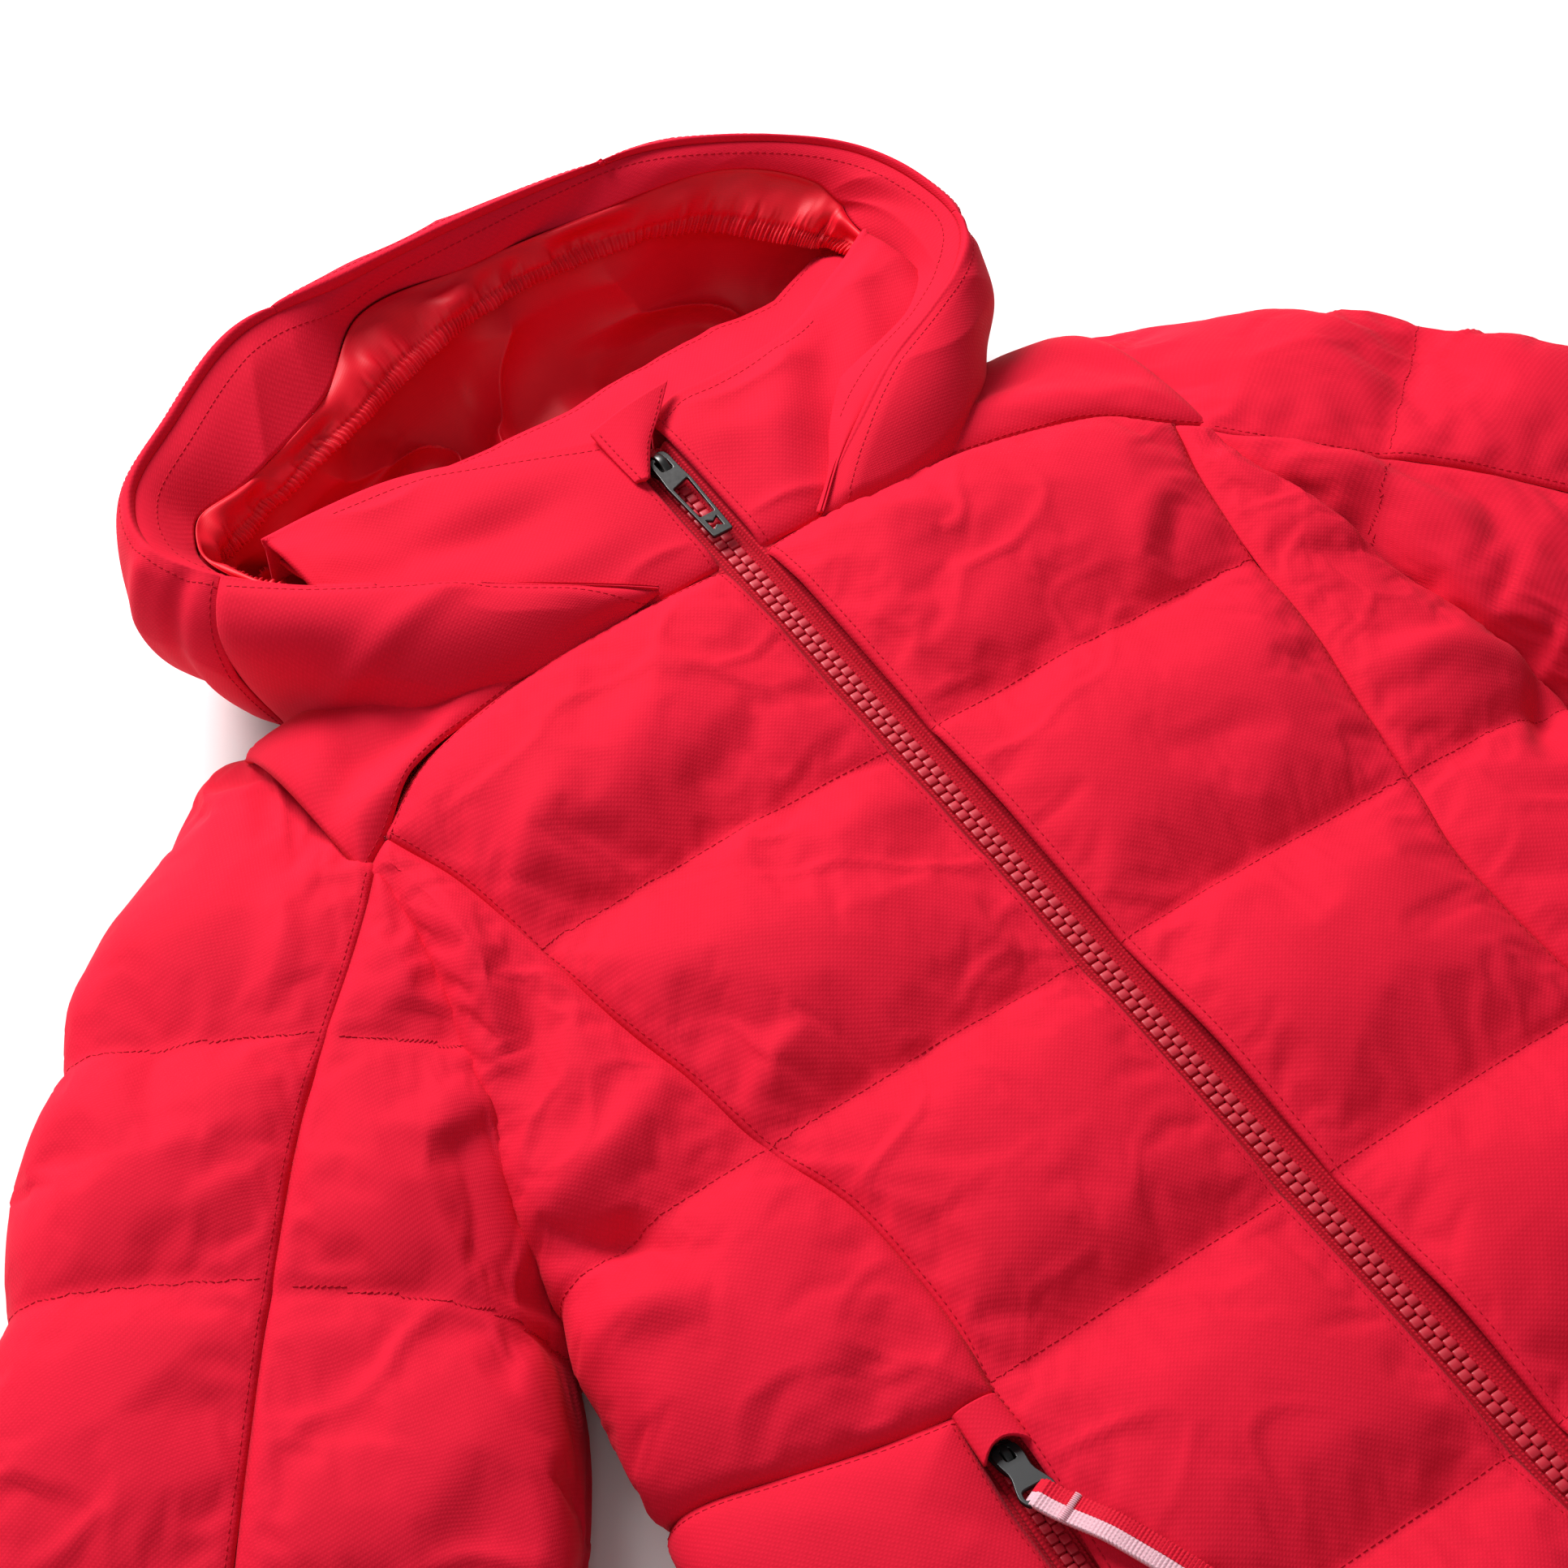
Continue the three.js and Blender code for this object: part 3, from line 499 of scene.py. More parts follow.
# fabric over filling: pillow between rows and seams, a rolled seam, puckers that fade from each stitch line
def padded(p, spec, seed, along=None, across=None, rows=(), edges="wens", folds=(), creases=1.0, hold=1.0,
           turnedEdge=None, swell=None):
    w, e, s, t = edgeDistances(p)
    near = np.full(p.shape[:2], 1e3)
    for key, d in zip("wesn", (w, e, s, t)):
        if key in edges:
            near = np.minimum(near, d)
    puff = spec["puff"] * (0.25 + 0.75 * pillow(near, spec["reach"] * 0.8))
    pucker = 0
    if len(rows):
        d, k = rowDistance(along, rows)
        puff = puff * pillow(d, spec["reach"])
        fine = softNoise(across / 7.0 + k * 9.7, d / 30 + k * 3.3, seed + 1) * np.exp(-d / 9) * 0.7
        wide = softNoise(across / 17.0 + k * 5.1, d / 60 + k * 1.7, seed + 2) * np.exp(-d / 24) * 1.5
        pucker = (fine + wide) * pillow(d, 2.5) * creases
    side = softNoise((w + s) / 12.0, near / 26, seed + 3) * np.exp(-near / 16) * 0.9 * pillow(near, 3) * creases
    roll = spec.get("roll", 1.5) * (pillow(near, 2.4) - 1)
    slow = softNoise(p[..., 0] / 47 + 3.3, p[..., 1] / 39 + 1.1, seed + 4) * 1.6 * pillow(near, 20)
    warp = softNoise(p[..., 0] / 31, p[..., 1] / 37, seed + 5)
    long = ridges(p[..., 0] / 58 + warp * 0.9, p[..., 1] / 30 + warp * 0.7, seed + 6) - 0.3
    long = long * 1.5 * pillow(near, 14)
    long *= smooth(0.5 + softNoise(p[..., 0] / 90, p[..., 1] / 80, seed + 7)) * creases
    if turnedEdge:                              # nearly flat to the edge, dented by its topstitch
        d = w if turnedEdge == "w" else e
        puff = puff * (0.30 + 0.70 * pillow(d, spec["reach"] * 0.9))
        roll = roll + 1.6 * (pillow(d, 0.8) - 1) - 0.7 * np.exp(-((d - 3.2) / 1.1) ** 2)
    h = (puff + pucker + side + roll + slow + long + foldHeight(p, folds)) * hold
    p = p + gridNormals(p) * h[..., None]
    if swell:
        fixed = np.exp(-(near / 3.0) ** 2)
        if turnedEdge:
            fixed = np.maximum(fixed, np.exp(-(d / 4.0) ** 4))
        if len(rows):
            fixed = np.maximum(fixed, np.exp(-(rowDistance(along, rows)[0] / 2.6) ** 2))
        p = inflate(p, fixed, **swell)
    return p


# cloth simulation of one panel: it is sewn down where fixed is 1, a little too large, and blown up from below
def inflate(p, fixed, grow, pressure, cap, frames=16):
    n, m = p.shape[:2]
    ob = meshObject("swelling", place(p).reshape(-1, 3), gridQuads(n, m), shell)
    group = ob.vertex_groups.new(name="sewn")
    weight = np.clip(fixed, 0, 1).ravel()
    for level in range(1, 11):                  # weights in tenths, so that each level is one call
        ids = np.nonzero(np.round(weight * 10) == level)[0].tolist()
        if ids:
            group.add(ids, level / 10, "REPLACE")
    cloth = ob.modifiers.new("cloth", "CLOTH")
    cs = cloth.settings
    cs.quality, cs.mass, cs.air_damping = 4, 0.15, 4.0
    cs.tension_stiffness = cs.compression_stiffness = 18
    cs.shear_stiffness, cs.bending_stiffness = 8, 0.35
    cs.vertex_group_mass = "sewn"
    cs.pin_stiffness = 1.5
    cs.shrink_min = -grow
    cs.use_pressure, cs.uniform_pressure_force = True, pressure
    cs.effector_weights.gravity = 0.0
    cloth.collision_settings.use_collision = False
    cloth.collision_settings.use_self_collision = False
    scene = bpy.context.scene
    for f in range(1, frames + 1):
        scene.frame_set(f)
    done = ob.evaluated_get(bpy.context.evaluated_depsgraph_get()).to_mesh()
    co = np.zeros(n * m * 3, np.float32)
    done.vertices.foreach_get("co", co)
    bpy.data.objects.remove(ob)
    scene.frame_set(1)
    move = (co.reshape(n, m, 3) - place(p)) * 1000
    size = np.linalg.norm(move, axis=-1, keepdims=True)
    move = move * np.minimum(1, cap / (size + 1e-9)) * (1 - np.clip(fixed, 0, 1))[..., None]
    print("  swelled by", round(float(size.mean()), 2), "mm, most", round(float(size.max()), 2))
    return p + move


# a sewn panel: Coons patch between its four seams, laid on the section, then filled
def panel(name, south, north, west, east, side, spec, seed, nodes, under=False, **extra):
    lines = [toGirth(q) for q in (south, north, west, east)]
    size = [np.linalg.norm(np.diff(q, axis=0), axis=1).sum() for q in lines]
    n, m = (int(max(pair) / spec["step"]) + 3 for pair in (size[:2], size[2:]))
    flat = coons(*lines, n, m)
    p = facing(torsoSurface(flat[..., 0], flat[..., 1], side, under), (0, 0, -1 if under else 1))
    p = padded(p, spec, seed, p[..., 1], p[..., 0], **extra)
    surface(name, p, shell, "torso", 3.0, nodes)
    return p


# running stitches along each quilt row that crosses a grid whose second direction is y
def sewRows(key, p, rows):
    a = np.linspace(0, p.shape[0] - 1, 300)
    for row in rows:
        columns = onGridColumn(p, a, row)
        keep = columns >= 0
        if keep.sum() > 20:
            sew(key, p, a[keep], columns[keep])


# second index at which each column reaches a value of y, or -1
def onGridColumn(p, a, row):
    i = np.clip(a.round().astype(int), 0, p.shape[0] - 1)
    y = p[i, :, 1]
    j = np.argmax(y > row, axis=1)
    ok = (j > 2) & (j < p.shape[1] - 2)
    y0 = y[np.arange(len(i)), np.maximum(j - 1, 0)]
    y1 = y[np.arange(len(i)), j]
    return np.where(ok, j - 1 + (row - y0) / (y1 - y0 + 1e-9), -1.0)


chestFolds = {
    "right": ((-60, 66, -128, 30, 16, 3.5), (-40, 84, -110, 74, 12, -2.5), (-24, -22, -80, -12, 10, 1.6),
              (-142, 20, -104, 50, 8, 2.2), (-128, -96, -96, -82, 7, 1.6), (-30, 40, -84, 20, 10, -1.8)),
    "left": ((34, 92, 70, 62, 9, 2.6), (26, 30, 92, 52, 13, -2.4), (40, -20, 96, -6, 12, 2.4),
             (110, 10, 140, 40, 8, 2.0), (60, -60, 120, -84, 12, -2.0), (30, -126, 60, -118, 9, 2.0)),
}
sideFolds = {
    "right": ((-170, 40, -182, -30, 8, 4.0), (-164, -6, -190, -52, 9, -3.4), (-150, -70, -196, -84, 9, 3.0),
              (-206, -92, -176, -128, 7, -5.0), (-212, -128, -180, -150, 9, 3.0)),
    "left": ((172, 40, 184, -30, 8, 5.0), (164, -6, 190, -52, 9, -3.0), (150, -70, 196, -84, 9, 3.0),
             (206, -92, 176, -128, 7, -5.0)),
}
yokeFolds = {
    "right": ((-112, 118, -168, 100, 12, -4.0), (-120, 104, -175, 78, 10, 4.0), (-150, 130, -178, 84, 9, -3.0)),
    "left": ((112, 118, 168, 104, 12, -3.0), (100, 112, 150, 96, 10, 2.0), (150, 130, 176, 96, 9, -2.0)),
}
pocketLining = {"top": -226, "drop": 180, "inner": 128, "wide": 72, "z": 48}
for side, sign in sides:
    seed = 11 if sign > 0 else 47
    spec = {"puff": torso["puff"], "reach": torso["reach"], "roll": 2.0, "step": torso["step"]}
    swell = {"grow": 0.014, "pressure": 2.0, "cap": 4.0}
    # the seam opens into a slit for the pocket zip
    slit = [(x + 0.7, y) for x, y in princess]
    slitOut = ((145.3, hemY), (139.3, -430), (141, -405), (148.5, -392), (147, -340), (145, -272), (144.5, -255),
               (142.5, -238), (140, -219.5))
    zipEdge, seamEdge = ("w", "e") if sign > 0 else ("e", "w")
    front = panel(f"front_panel_{side}", ((placket, hemY), (80, hemY), (146, hemY)), yokeSeam,
                  ((placket, hemY), (placket, -200), (placket, 104)), slit, sign, spec, seed, (f"front_{side}",),
                  rows=torso["rows"], folds=chestFolds[side], edges="ns" + seamEdge, turnedEdge=zipEdge,
                  swell=swell)
    upper = [(x - 0.7, y) for x, y in princess if y >= -221]
    flank = panel(f"side_panel_{side}", pocketSeam, ((169, 69.5), (175, 66), (181, 61.5)),
                  upper, ((230, -187), (221, -141), (212, -109)) + armhole[1:], sign, dict(spec, puff=8.0),
                  seed + 100, (f"side_front_{side}",), rows=torso["rows"][1:2], folds=sideFolds[side],
                  swell=swell)
    lower = panel(f"lower_side_panel_{side}", ((145.3, hemY), (195, hemY), (240, hemY)),
                  slitOut[-1:] + pocketSeam[2:], slitOut, ((240, hemY), (233, -360), (230, -187)), sign,
                  dict(spec, puff=8.0), seed + 200, (f"lower_side_{side}",), rows=torso["rows"][3:])
    yoke = panel(f"yoke_panel_{side}", yokeSeam + ((183, 61),), ((8.7, 159), (80, 159), (150, 157), (184, 150)),
                 ((8.7, 104), (8.7, 159)), ((183, 61), (184, 100), (184, 150)), sign, dict(spec, puff=5.0),
                 seed + 300, (f"yoke_{side}",), folds=yokeFolds[side])
    for p, edge, inset in ((front, zipEdge, 3.2), (front, seamEdge, 2.6), (front, "n", 2.6), (lower, "n", 2.4),
                           (lower, zipEdge, 2.6), (yoke, "s", 2.4)):
        sewEdges("torso", p, edge, inset)
    for p, rows in ((front, torso["rows"]), (flank, torso["rows"][1:2]), (lower, torso["rows"][3:])):
        sewRows("torso", p, rows)
    # under the arm and round the side to the back
    panel(f"underarm_panel_{side}", ((188, hemY), (215, hemY), (240, hemY)),
          ((168, 140), (186, 142), (200, 144)), ((188, hemY), (178, -216), (165, -60), (168, 140)),
          ((240, hemY), (224, -216), (206, -120), (199, 144)), sign, dict(spec, puff=1.5, step=4.0),
          seed + 400, (f"underarm_{side}",), under=True, rows=torso["rows"])
    s, t = steps(0, 1, 30, 0, 1, 44)
    bag = sheet(sign * (pocketLining["inner"] + pocketLining["wide"] * s + 8 * t * s),
                pocketLining["top"] - pocketLining["drop"] * t - 12 * np.sin(np.pi * s),
                pocketLining["z"] - 3 * s + 1.5 * np.sin(9 * s + 7 * t))
    surface(f"pocket_lining_{side}", facing(bag, (0, 0, 1)), satin, "torso", 1.4, (f"pocket_bag_{side}",))
print("front panels done")


# the back on the floor: quilted like the front, its filling pressed flat underneath
def backSheet(name, y0, y1, rows, nodes):
    x, y = steps(-186, 186, 110, y0, y1, int((y1 - y0) / 4) + 3)
    narrow = np.interp(y, (-540, -216, -60, 148), (1.0, 0.95, 0.88, 0.9))
    p = sheet(x * narrow, y, 7.0)
    d = rowDistance(p[..., 1], rows)[0] if len(rows) else np.full(p.shape[:2], 60.0)
    south, north = edgeDistances(p)[2:]
    p[..., 2] -= 6.2 * np.minimum(pillow(d, 12), 0.97) * pillow(np.minimum(south, north), 6)
    surface(name, facing(p, (0, 0, -1)), shell, "torso", 3.0, nodes)


backSheet("back_quilt", -540, 60, torso["rows"], ("back_panel",))
backSheet("back_yoke_quilt", 61, 146, (), ("back_yoke",))


# satin lining hung inside: a sheet with soft wandering folds
def liner(name, x0, x1, y1, z, nodes, seed, up=1):
    x, y = steps(x0, x1, 70, -534, y1, 120)
    half = halfWidth(y)
    px = x / 212 * half
    pz = z + softNoise(px / 22, y / 60 + px / 90, seed) * 2.0 - up * 6 * (np.abs(px) / half) ** 4
    surface(name, facing(sheet(px, y, pz), (0, 0, -up)), satin, "torso", 1.0, nodes)


liner("front_satin_left", 14, 190, 92, 50, ("front_lining_left",), 22)
liner("front_satin_right", -190, -14, 92, 50, ("front_lining_right",), 20)
liner("back_satin", -186, 186, 140, 12, ("back_lining",), 29, up=-1)

skirt = {"half": 196, "foot": -440, "width": 50, "gather": 2.4, "pleat": 3.4}
x, t = steps(-skirt["half"], skirt["half"], 260, 0, 1, 14)
gather = skirt["gather"] * np.sin(x / skirt["pleat"]) * smooth(t * 1.4)
p = sheet(x, skirt["foot"] + skirt["width"] * t, 17 + gather + 8 * np.sin(np.pi * t))
surface("snow_skirt_band", facing(p, (0, 0, 1)), satin, "torso", 1.0, ("snow_skirt",))

flap = {"half": 15.5, "z": 66.4}
x, y = steps(-flap["half"], flap["half"], 16, hemY + 3, 100, 200)
p = sheet(x, y, flap["z"] - (x / flap["half"]) ** 4 * 2.4 + 0.3 * np.sin(y / 17))
surface("storm_flap_cloth", facing(p, (0, 0, 1)), shell, "torso", 4.5, ("storm_flap",))
print("back and linings done")


# sleeves
sleeve = {"root": (200.0, 20.0), "angle": 41 * deg, "length": 530.0, "cuff": 60.0, "puff": 6.5, "reach": 19.0,
          "half": ((-110, 104), (60, 101), (136, 97), (300, 88), (420, 78), (530, 64)),
          "depth": ((-110, 70), (136, 66), (300, 60), (420, 54), (530, 44)),
          "rows": (22.0, 114.5, 222.0, 330.0, 438.0),
          "seam": ((-45, 13), (20, 20), (130, 14), (220, 6), (530, 0)),
          "step": 2.6}
ringAngle = np.linspace(0, 2 * np.pi, 2401)
ringX = np.sign(np.cos(ringAngle)) * np.sqrt(np.abs(np.cos(ringAngle)))
ringZ = np.sign(np.sin(ringAngle)) * np.sqrt(np.abs(np.sin(ringAngle)))
ringRun = np.r_[0, np.cumsum(np.hypot(np.diff(ringX * 95), np.diff(ringZ * 33)))]
ringRun /= ringRun[-1]


def tableAt(table, u):
    table = np.array(table, float)
    return np.interp(u, table[:, 0], table[:, 1])


# superellipse round the arm: v = w sqrt(cos a), z = d/2 (1 + sqrt(sin a)), r the share of its length
def sleeveSection(r, u):
    v = np.interp(r % 1.0, ringRun, ringX) * tableAt(sleeve["half"], u)
    z = (1 + np.interp(r % 1.0, ringRun, ringZ)) * tableAt(sleeve["depth"], u) / 2
    return v, z


def sleeveFrame(side):
    ang = sleeve["angle"]
    root = np.array((side * sleeve["root"][0], sleeve["root"][1]))
    return root, np.array((side * np.sin(ang), -np.cos(ang))), np.array((side * np.cos(ang), np.sin(ang)))


sleeveSeed = {"outer": 416, "inner": 410}
sleeveStart = {
    "outer": ((174, 40, 3), (180, 122, 5), (188, 166, 18), (179, 150, 36), (177, 98, 55), (177.5, 62, 69)),
    "inner": ((177.5, 62, 69), (178, 34, 70), (183, 5, 67), (194, -36, 60), (204, -84, 44), (208, -110, 30),
              (198, -98, 10), (174, 40, 3)),
}
sleeveFolds = {
    "right": {"outer": ((-10, 98, 60, 62, 10, -3.0), (-30, 40, 8, 34, 7, 2.5)),
              "inner": ((-10, -14, 60, -52, 12, 3.5), (40, 8, 96, -40, 10, -2.5), (-30, 0, 30, -30, 8, -2.0),
                        (20, -20, 108, -62, 8, 2.6), (150, -60, 210, -30, 12, 2.0))},
    "left": {"outer": ((-20, 96, 52, 60, 10, -4.0), (-36, 74, 30, 30, 9, 3.0)),
             "inner": ((-20, 6, 66, -22, 9, 6.0), (-34, -10, 40, -44, 9, -5.0), (34, 4, 100, -38, 10, -3.0),
                       (60, -30, 112, -66, 9, 3.4))},
}
cuff = {"profile": ((-1, 0), (56, 0), (59.4, -1.6), (60, -5), (58, -7), (20, -7)), "wrinkle": 0.8, "wall": 1.2}
tab = {"half": (36, 12.6), "z": 48.1, "fromEnd": 27, "across": 4.0}
tube = {"from": 184, "beforeEnd": 74, "narrow": 0.80, "flat": 0.70}


# whether the faces of a tube look away from its middle line at a height, over some of its rows
def outwards(p, middle, height, wrap=False, rows=np.s_[:]):
    away = (p - sheet(middle[..., 0], middle[..., 1], height)) * gridNormals(p, wrap)
    return away[:, rows].sum() > 0


for side, sign in sides:
    root, run, out = sleeveFrame(sign)
    toPlan = lambda u, v: (root + np.multiply.outer(u, run) + np.multiply.outer(v, out))
    onSleeve = lambda u, v, z: np.concatenate([toPlan(u, v), z[..., None]], -1)
    start, end = np.r_[root + run * 30, 35], np.r_[root + run * 178, 35]
    key = ("torso", f"sleeve_{side}", tuple(start), tuple(end))
    last = sleeve["length"] - sleeve["cuff"] + 1
    for part, half in (("outer", "front"), ("inner", "back")):
        first = curve(np.array(sleeveStart[part], float) * (sign, 1, 1), np.linspace(0, 1, 118))
        rel = first[:, :2] - root
        u0, v0, z0 = (rel @ run)[:, None], (rel @ out)[:, None], first[:, 2:]
        n, m = len(first), int((last + 39) / sleeve["step"])
        q, t = steps(0, 1, n, 0, 1, m)
        u = u0 + (last - u0) * t
        seamShare = tableAt(sleeve["seam"], u) / tableAt(sleeve["half"], u) * 0.19
        r0, r1 = (-0.25, 0.25 - seamShare) if part == "outer" else (0.25 - seamShare, 0.75)
        v, z = sleeveSection(r0 + (r1 - r0) * q, u)
        w = smooth((u - u0) / 130)
        v, z = v0 * (1 - w) + v * w, z0 * (1 - w) + z * w
        p = onSleeve(u, v, z)
        if not outwards(p, toPlan(u, 0 * v), 33):
            p, u, v = p[::-1], u[::-1], v[::-1]
        skew = 16 * np.clip((v - 20) / 85, 0, 1) if sign < 0 else 0
        spec = {"puff": sleeve["puff"], "reach": sleeve["reach"], "roll": 1.8}
        folds = [(*toPlan(f[0], f[1]), *toPlan(f[2], f[3]), f[4], f[5]) for f in sleeveFolds[side][part]]
        hold = 0.15 + 0.85 * smooth((p[..., 2] - 4) / 16)
        p = padded(p, spec, sleeveSeed[part] + sign * 40, u - skew, v, rows=sleeve["rows"], folds=folds,
                   hold=hold, creases=1.1, swell={"grow": 0.014, "pressure": 1.6, "cap": 4.0})
        p[..., 2] = np.maximum(p[..., 2], 0.4)
        ob = surface(f"sleeve_{part}_{side}", p, shell, None, 3.0,
                     (f"sleeve_head_{half}_{side}", f"sleeve_{half}_{side}"))
        place(start)
        place(end)
        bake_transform(ob)
        # stitches: beside the front seam on the outer panel, and along each quilt row
        if part == "outer":
            beside = 1.3 if abs(v[0, 60] - 16) < abs(v[-1, 60] - 16) else n - 2.3
            sew(key, p, np.full(500, beside), np.linspace(0.01, 0.99, 500) * (m - 1))
        a = np.linspace(2, n - 3, 240)
        i = a.round().astype(int)
        along = (u - skew)[i]
        for row in sleeve["rows"]:
            j = np.argmax(along > row, axis=1)
            k = np.nonzero((j > 3) & (p[i, j, 2] > 12))[0]
            j = j[k]
            if len(k) > 10:
                f = (row - along[k, j - 1]) / (along[k, j] - along[k, j - 1] + 1e-9)
                sew(key, p, a[k], j - 1 + f)
    # cuff: a flat band round the end with its hem turned in
    q = np.linspace(0, 1, 180, endpoint=False)[:, None]
    track = curve(cuff["profile"], np.linspace(0, 1, 40))[None]
    u = sleeve["length"] - sleeve["cuff"] + track[..., 0] + 0 * q
    v, z = sleeveSection(q + 0 * u, u)
    depth = tableAt(sleeve["depth"], u) / 2
    p = onSleeve(u, v * (1 + track[..., 1] / 60), depth + (z - depth) * (1 + track[..., 1] / 26))
    if not outwards(p, toPlan(u, 0 * v), 25, True, np.s_[:10]):
        p = p[::-1]
    p = p + gridNormals(p, True) * (softNoise(u / 9, q * 60 + 0 * u, 71) * cuff["wrinkle"])[..., None]
    p[..., 2] = np.maximum(p[..., 2], 0.3)
    surface(f"cuff_band_{side}", p, shell, f"sleeve_{side}", cuff["wall"], (f"cuff_{side}",), wrap=True)
    # sleeve lining: a satin tube inside
    reach = sleeve["length"] - tube["beforeEnd"] - tube["from"]
    u = tube["from"] + reach * np.linspace(0, 1, 90)[None] + 0 * q
    v, z = sleeveSection(q + 0 * u, u)
    depth = tableAt(sleeve["depth"], u) / 2
    p = onSleeve(u, v * tube["narrow"], depth + (z - depth) * tube["flat"])
    p = p + gridNormals(p, True) * (softNoise(u / 60, q * 24 + 0 * u, 81) * 1.6)[..., None]
    surface(f"sleeve_satin_{side}", p, satin, f"sleeve_{side}", 1.0, (f"sleeve_lining_{side}",), wrap=True)
    # cuff tab: a rounded strap, its length across the sleeve
    s, t = steps(-1, 1, 50, -1, 1, 26)
    across = s * tab["half"][0] + 0 * t
    along = t * tab["half"][1] * (1 - np.abs(s) ** 14 * 0.25)
    z = tab["z"] + 1.5 * (1 - np.maximum(np.abs(s), np.abs(t)) ** 8)
    p = facing(onSleeve(sleeve["length"] - tab["fromEnd"] + along, across + tab["across"], z), (0, 0, 1))
    surface(f"cuff_strap_{side}", p, shell, f"cuff_tab_{side}", 1.8, (f"cuff_tab_{side}",))
    sewEdges(f"cuff_tab_{side}", p, "wens", 2.4)
print("sleeves done")


# hood
# one line for each station of the rim, from the right front end over the top to the left front end:
# rim, widest point outside, foot outside, inner edge of the facing, gathered edge, foot of the lining
hoodStations = (
    ((-35, 105, 77), (-36, 104, 77), (-35, 104, 75.5), (-34, 107, 76.5), (-33.5, 108, 76.3), (-33, 109, 76)),
    ((-64, 121, 82), (-63, 112, 82.5), (-62, 101, 74), (-61, 124, 77.4), (-60, 126, 77), (-59, 127, 76.8)),
    ((-93, 138, 86), (-98, 118, 86), (-100, 101, 72), (-90, 142, 77.6), (-89, 144, 77.2), (-88, 145, 77)),
    ((-123, 154, 89), (-134, 132, 86), (-134, 114, 58), (-119, 159, 77.6), (-118, 161, 77.2), (-117, 162, 77)),
    ((-148, 169, 91), (-159, 150, 80), (-152, 150, 34), (-143, 174, 77.6), (-141, 177, 77), (-140, 178, 76)),
    ((-171, 194, 91), (-181, 176, 66), (-160, 170, 22), (-158, 203, 74), (-151, 205, 66), (-142, 203, 56)),
    ((-180, 212, 90), (-187, 196, 58), (-160, 190, 14), (-160, 214, 74), (-153, 210, 61), (-136, 208, 46)),
    ((-180, 227, 89), (-185, 214, 50), (-158, 206, 16), (-158, 221, 74), (-154, 213, 59), (-128, 211, 42)),
    ((-173.5, 243, 88), (-173, 240, 46), (-142, 222, 8), (-153, 230, 73), (-150, 219, 58), (-118, 213, 38)),
    ((-141.6, 270, 87), (-146, 266, 44), (-122, 236, 5), (-128, 239, 70), (-122, 231, 58), (-98, 218, 35)),
    ((-97.3, 297, 86), (-99, 294, 42), (-90, 243, 4.5), (-83, 262, 67), (-77, 249, 58), (-62, 223, 34)),
    ((-46.8, 297.5, 86), (-48, 303, 46), (-44, 245, 4.5), (-52, 289, 70), (-46, 261, 58), (-40, 226, 32)),
    ((16, 298, 86), (12, 305, 46), (8, 246, 4.5), (-4, 289, 70), (-6, 274, 58), (-8, 226, 32)),
    ((50, 295.5, 86), (47, 302, 46), (40, 245, 4.5), (20, 287.5, 71), (18, 276.3, 58), (15, 226, 32)),
    ((84.5, 290.5, 86), (82, 297, 46), (75, 243, 4.5), (44, 284, 73), (44.5, 275.3, 58), (36, 227, 32)),
    ((113.7, 276.5, 86), (115, 281, 46), (105, 238, 5), (92, 276, 77), (78, 268.7, 58), (70, 231, 32)),
    ((151.5, 241, 86), (152, 243, 46), (132, 228, 8), (130, 249, 75), (109.6, 242, 58), (100, 229, 34)),
    ((159, 213.6, 87), (163, 212, 50), (144, 208, 14), (134.5, 237, 71), (118, 233, 58), (112, 228, 36)),
    ((154.2, 178.4, 89), (161, 188, 58), (148, 186, 28), (133, 224, 69), (124, 226, 59), (120, 226, 40)),
    ((137.9, 163.2, 89), (150, 161, 67), (139, 165, 34), (132, 196, 68), (128, 208, 62), (124, 214, 52)),
    ((120, 153.5, 89), (134, 146, 78), (132, 143, 48), (118, 176, 70), (118, 180, 69), (117, 184, 68)),
    ((93, 141, 88), (108, 128, 84), (118, 121, 66), (88, 162, 72), (88, 166, 71), (88, 168, 70)),
    ((68.2, 125.3, 85), (78, 112, 82.5), (92, 102, 73), (62, 138, 76), (62, 140, 75), (61, 141, 74)),
    ((47.3, 113, 80), (53, 104, 79.5), (58, 95, 75.5), (45, 116, 77), (44, 117, 76.8), (43, 118, 76.6)),
    ((33, 102, 77), (33.5, 101.5, 77), (33, 101, 75.5), (32, 104, 76.5), (31.5, 105, 76.3), (31, 106, 76)),
)
hood = {"lip": 4.2, "around": 420, "run": 1100, "puff": 2.0,
        # share of the rim, slant, width and height of each crease
        "creases": ((0.225, 30, 7, -2.6), (0.245, 24, 8, 2.4), (0.80, -30, 8, -2.4), (0.13, 120, 14, 1.6))}
stations = np.array(hoodStations, float)
stationRun = np.r_[0, np.cumsum(np.linalg.norm(np.diff(stations[:, 0], axis=0), axis=1))]
stationRun /= stationRun[-1]


# every hood line at a share u of the rim's length, eased between the stations
def hoodLines(u):
    flat = stations.reshape(len(stations), -1)
    return hermite(stationRun, flat, u).reshape(len(u), 6, 3)


# quadratic Bezier through a middle point: control = 2 middle - half the ends
def spread(a, b, c, t):
    k = 2 * b - 0.5 * (a + c)
    return (1 - t) ** 2 * a + 2 * t * (1 - t) * k + t ** 2 * c


hoodBlend = ((0.0, 150.0, 40.0), (0.0, 236.0, 40.0))
hoodKey = ("torso", "hood", *hoodBlend)


# a hood piece: a walled mesh on no body, standing for its imported node, its transform baked in
def hoodPiece(name, p, material, thick, node):
    ob = surface(name, p, material, None, thick, (node,))
    place(hoodBlend[0])
    place(hoodBlend[1])
    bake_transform(ob)


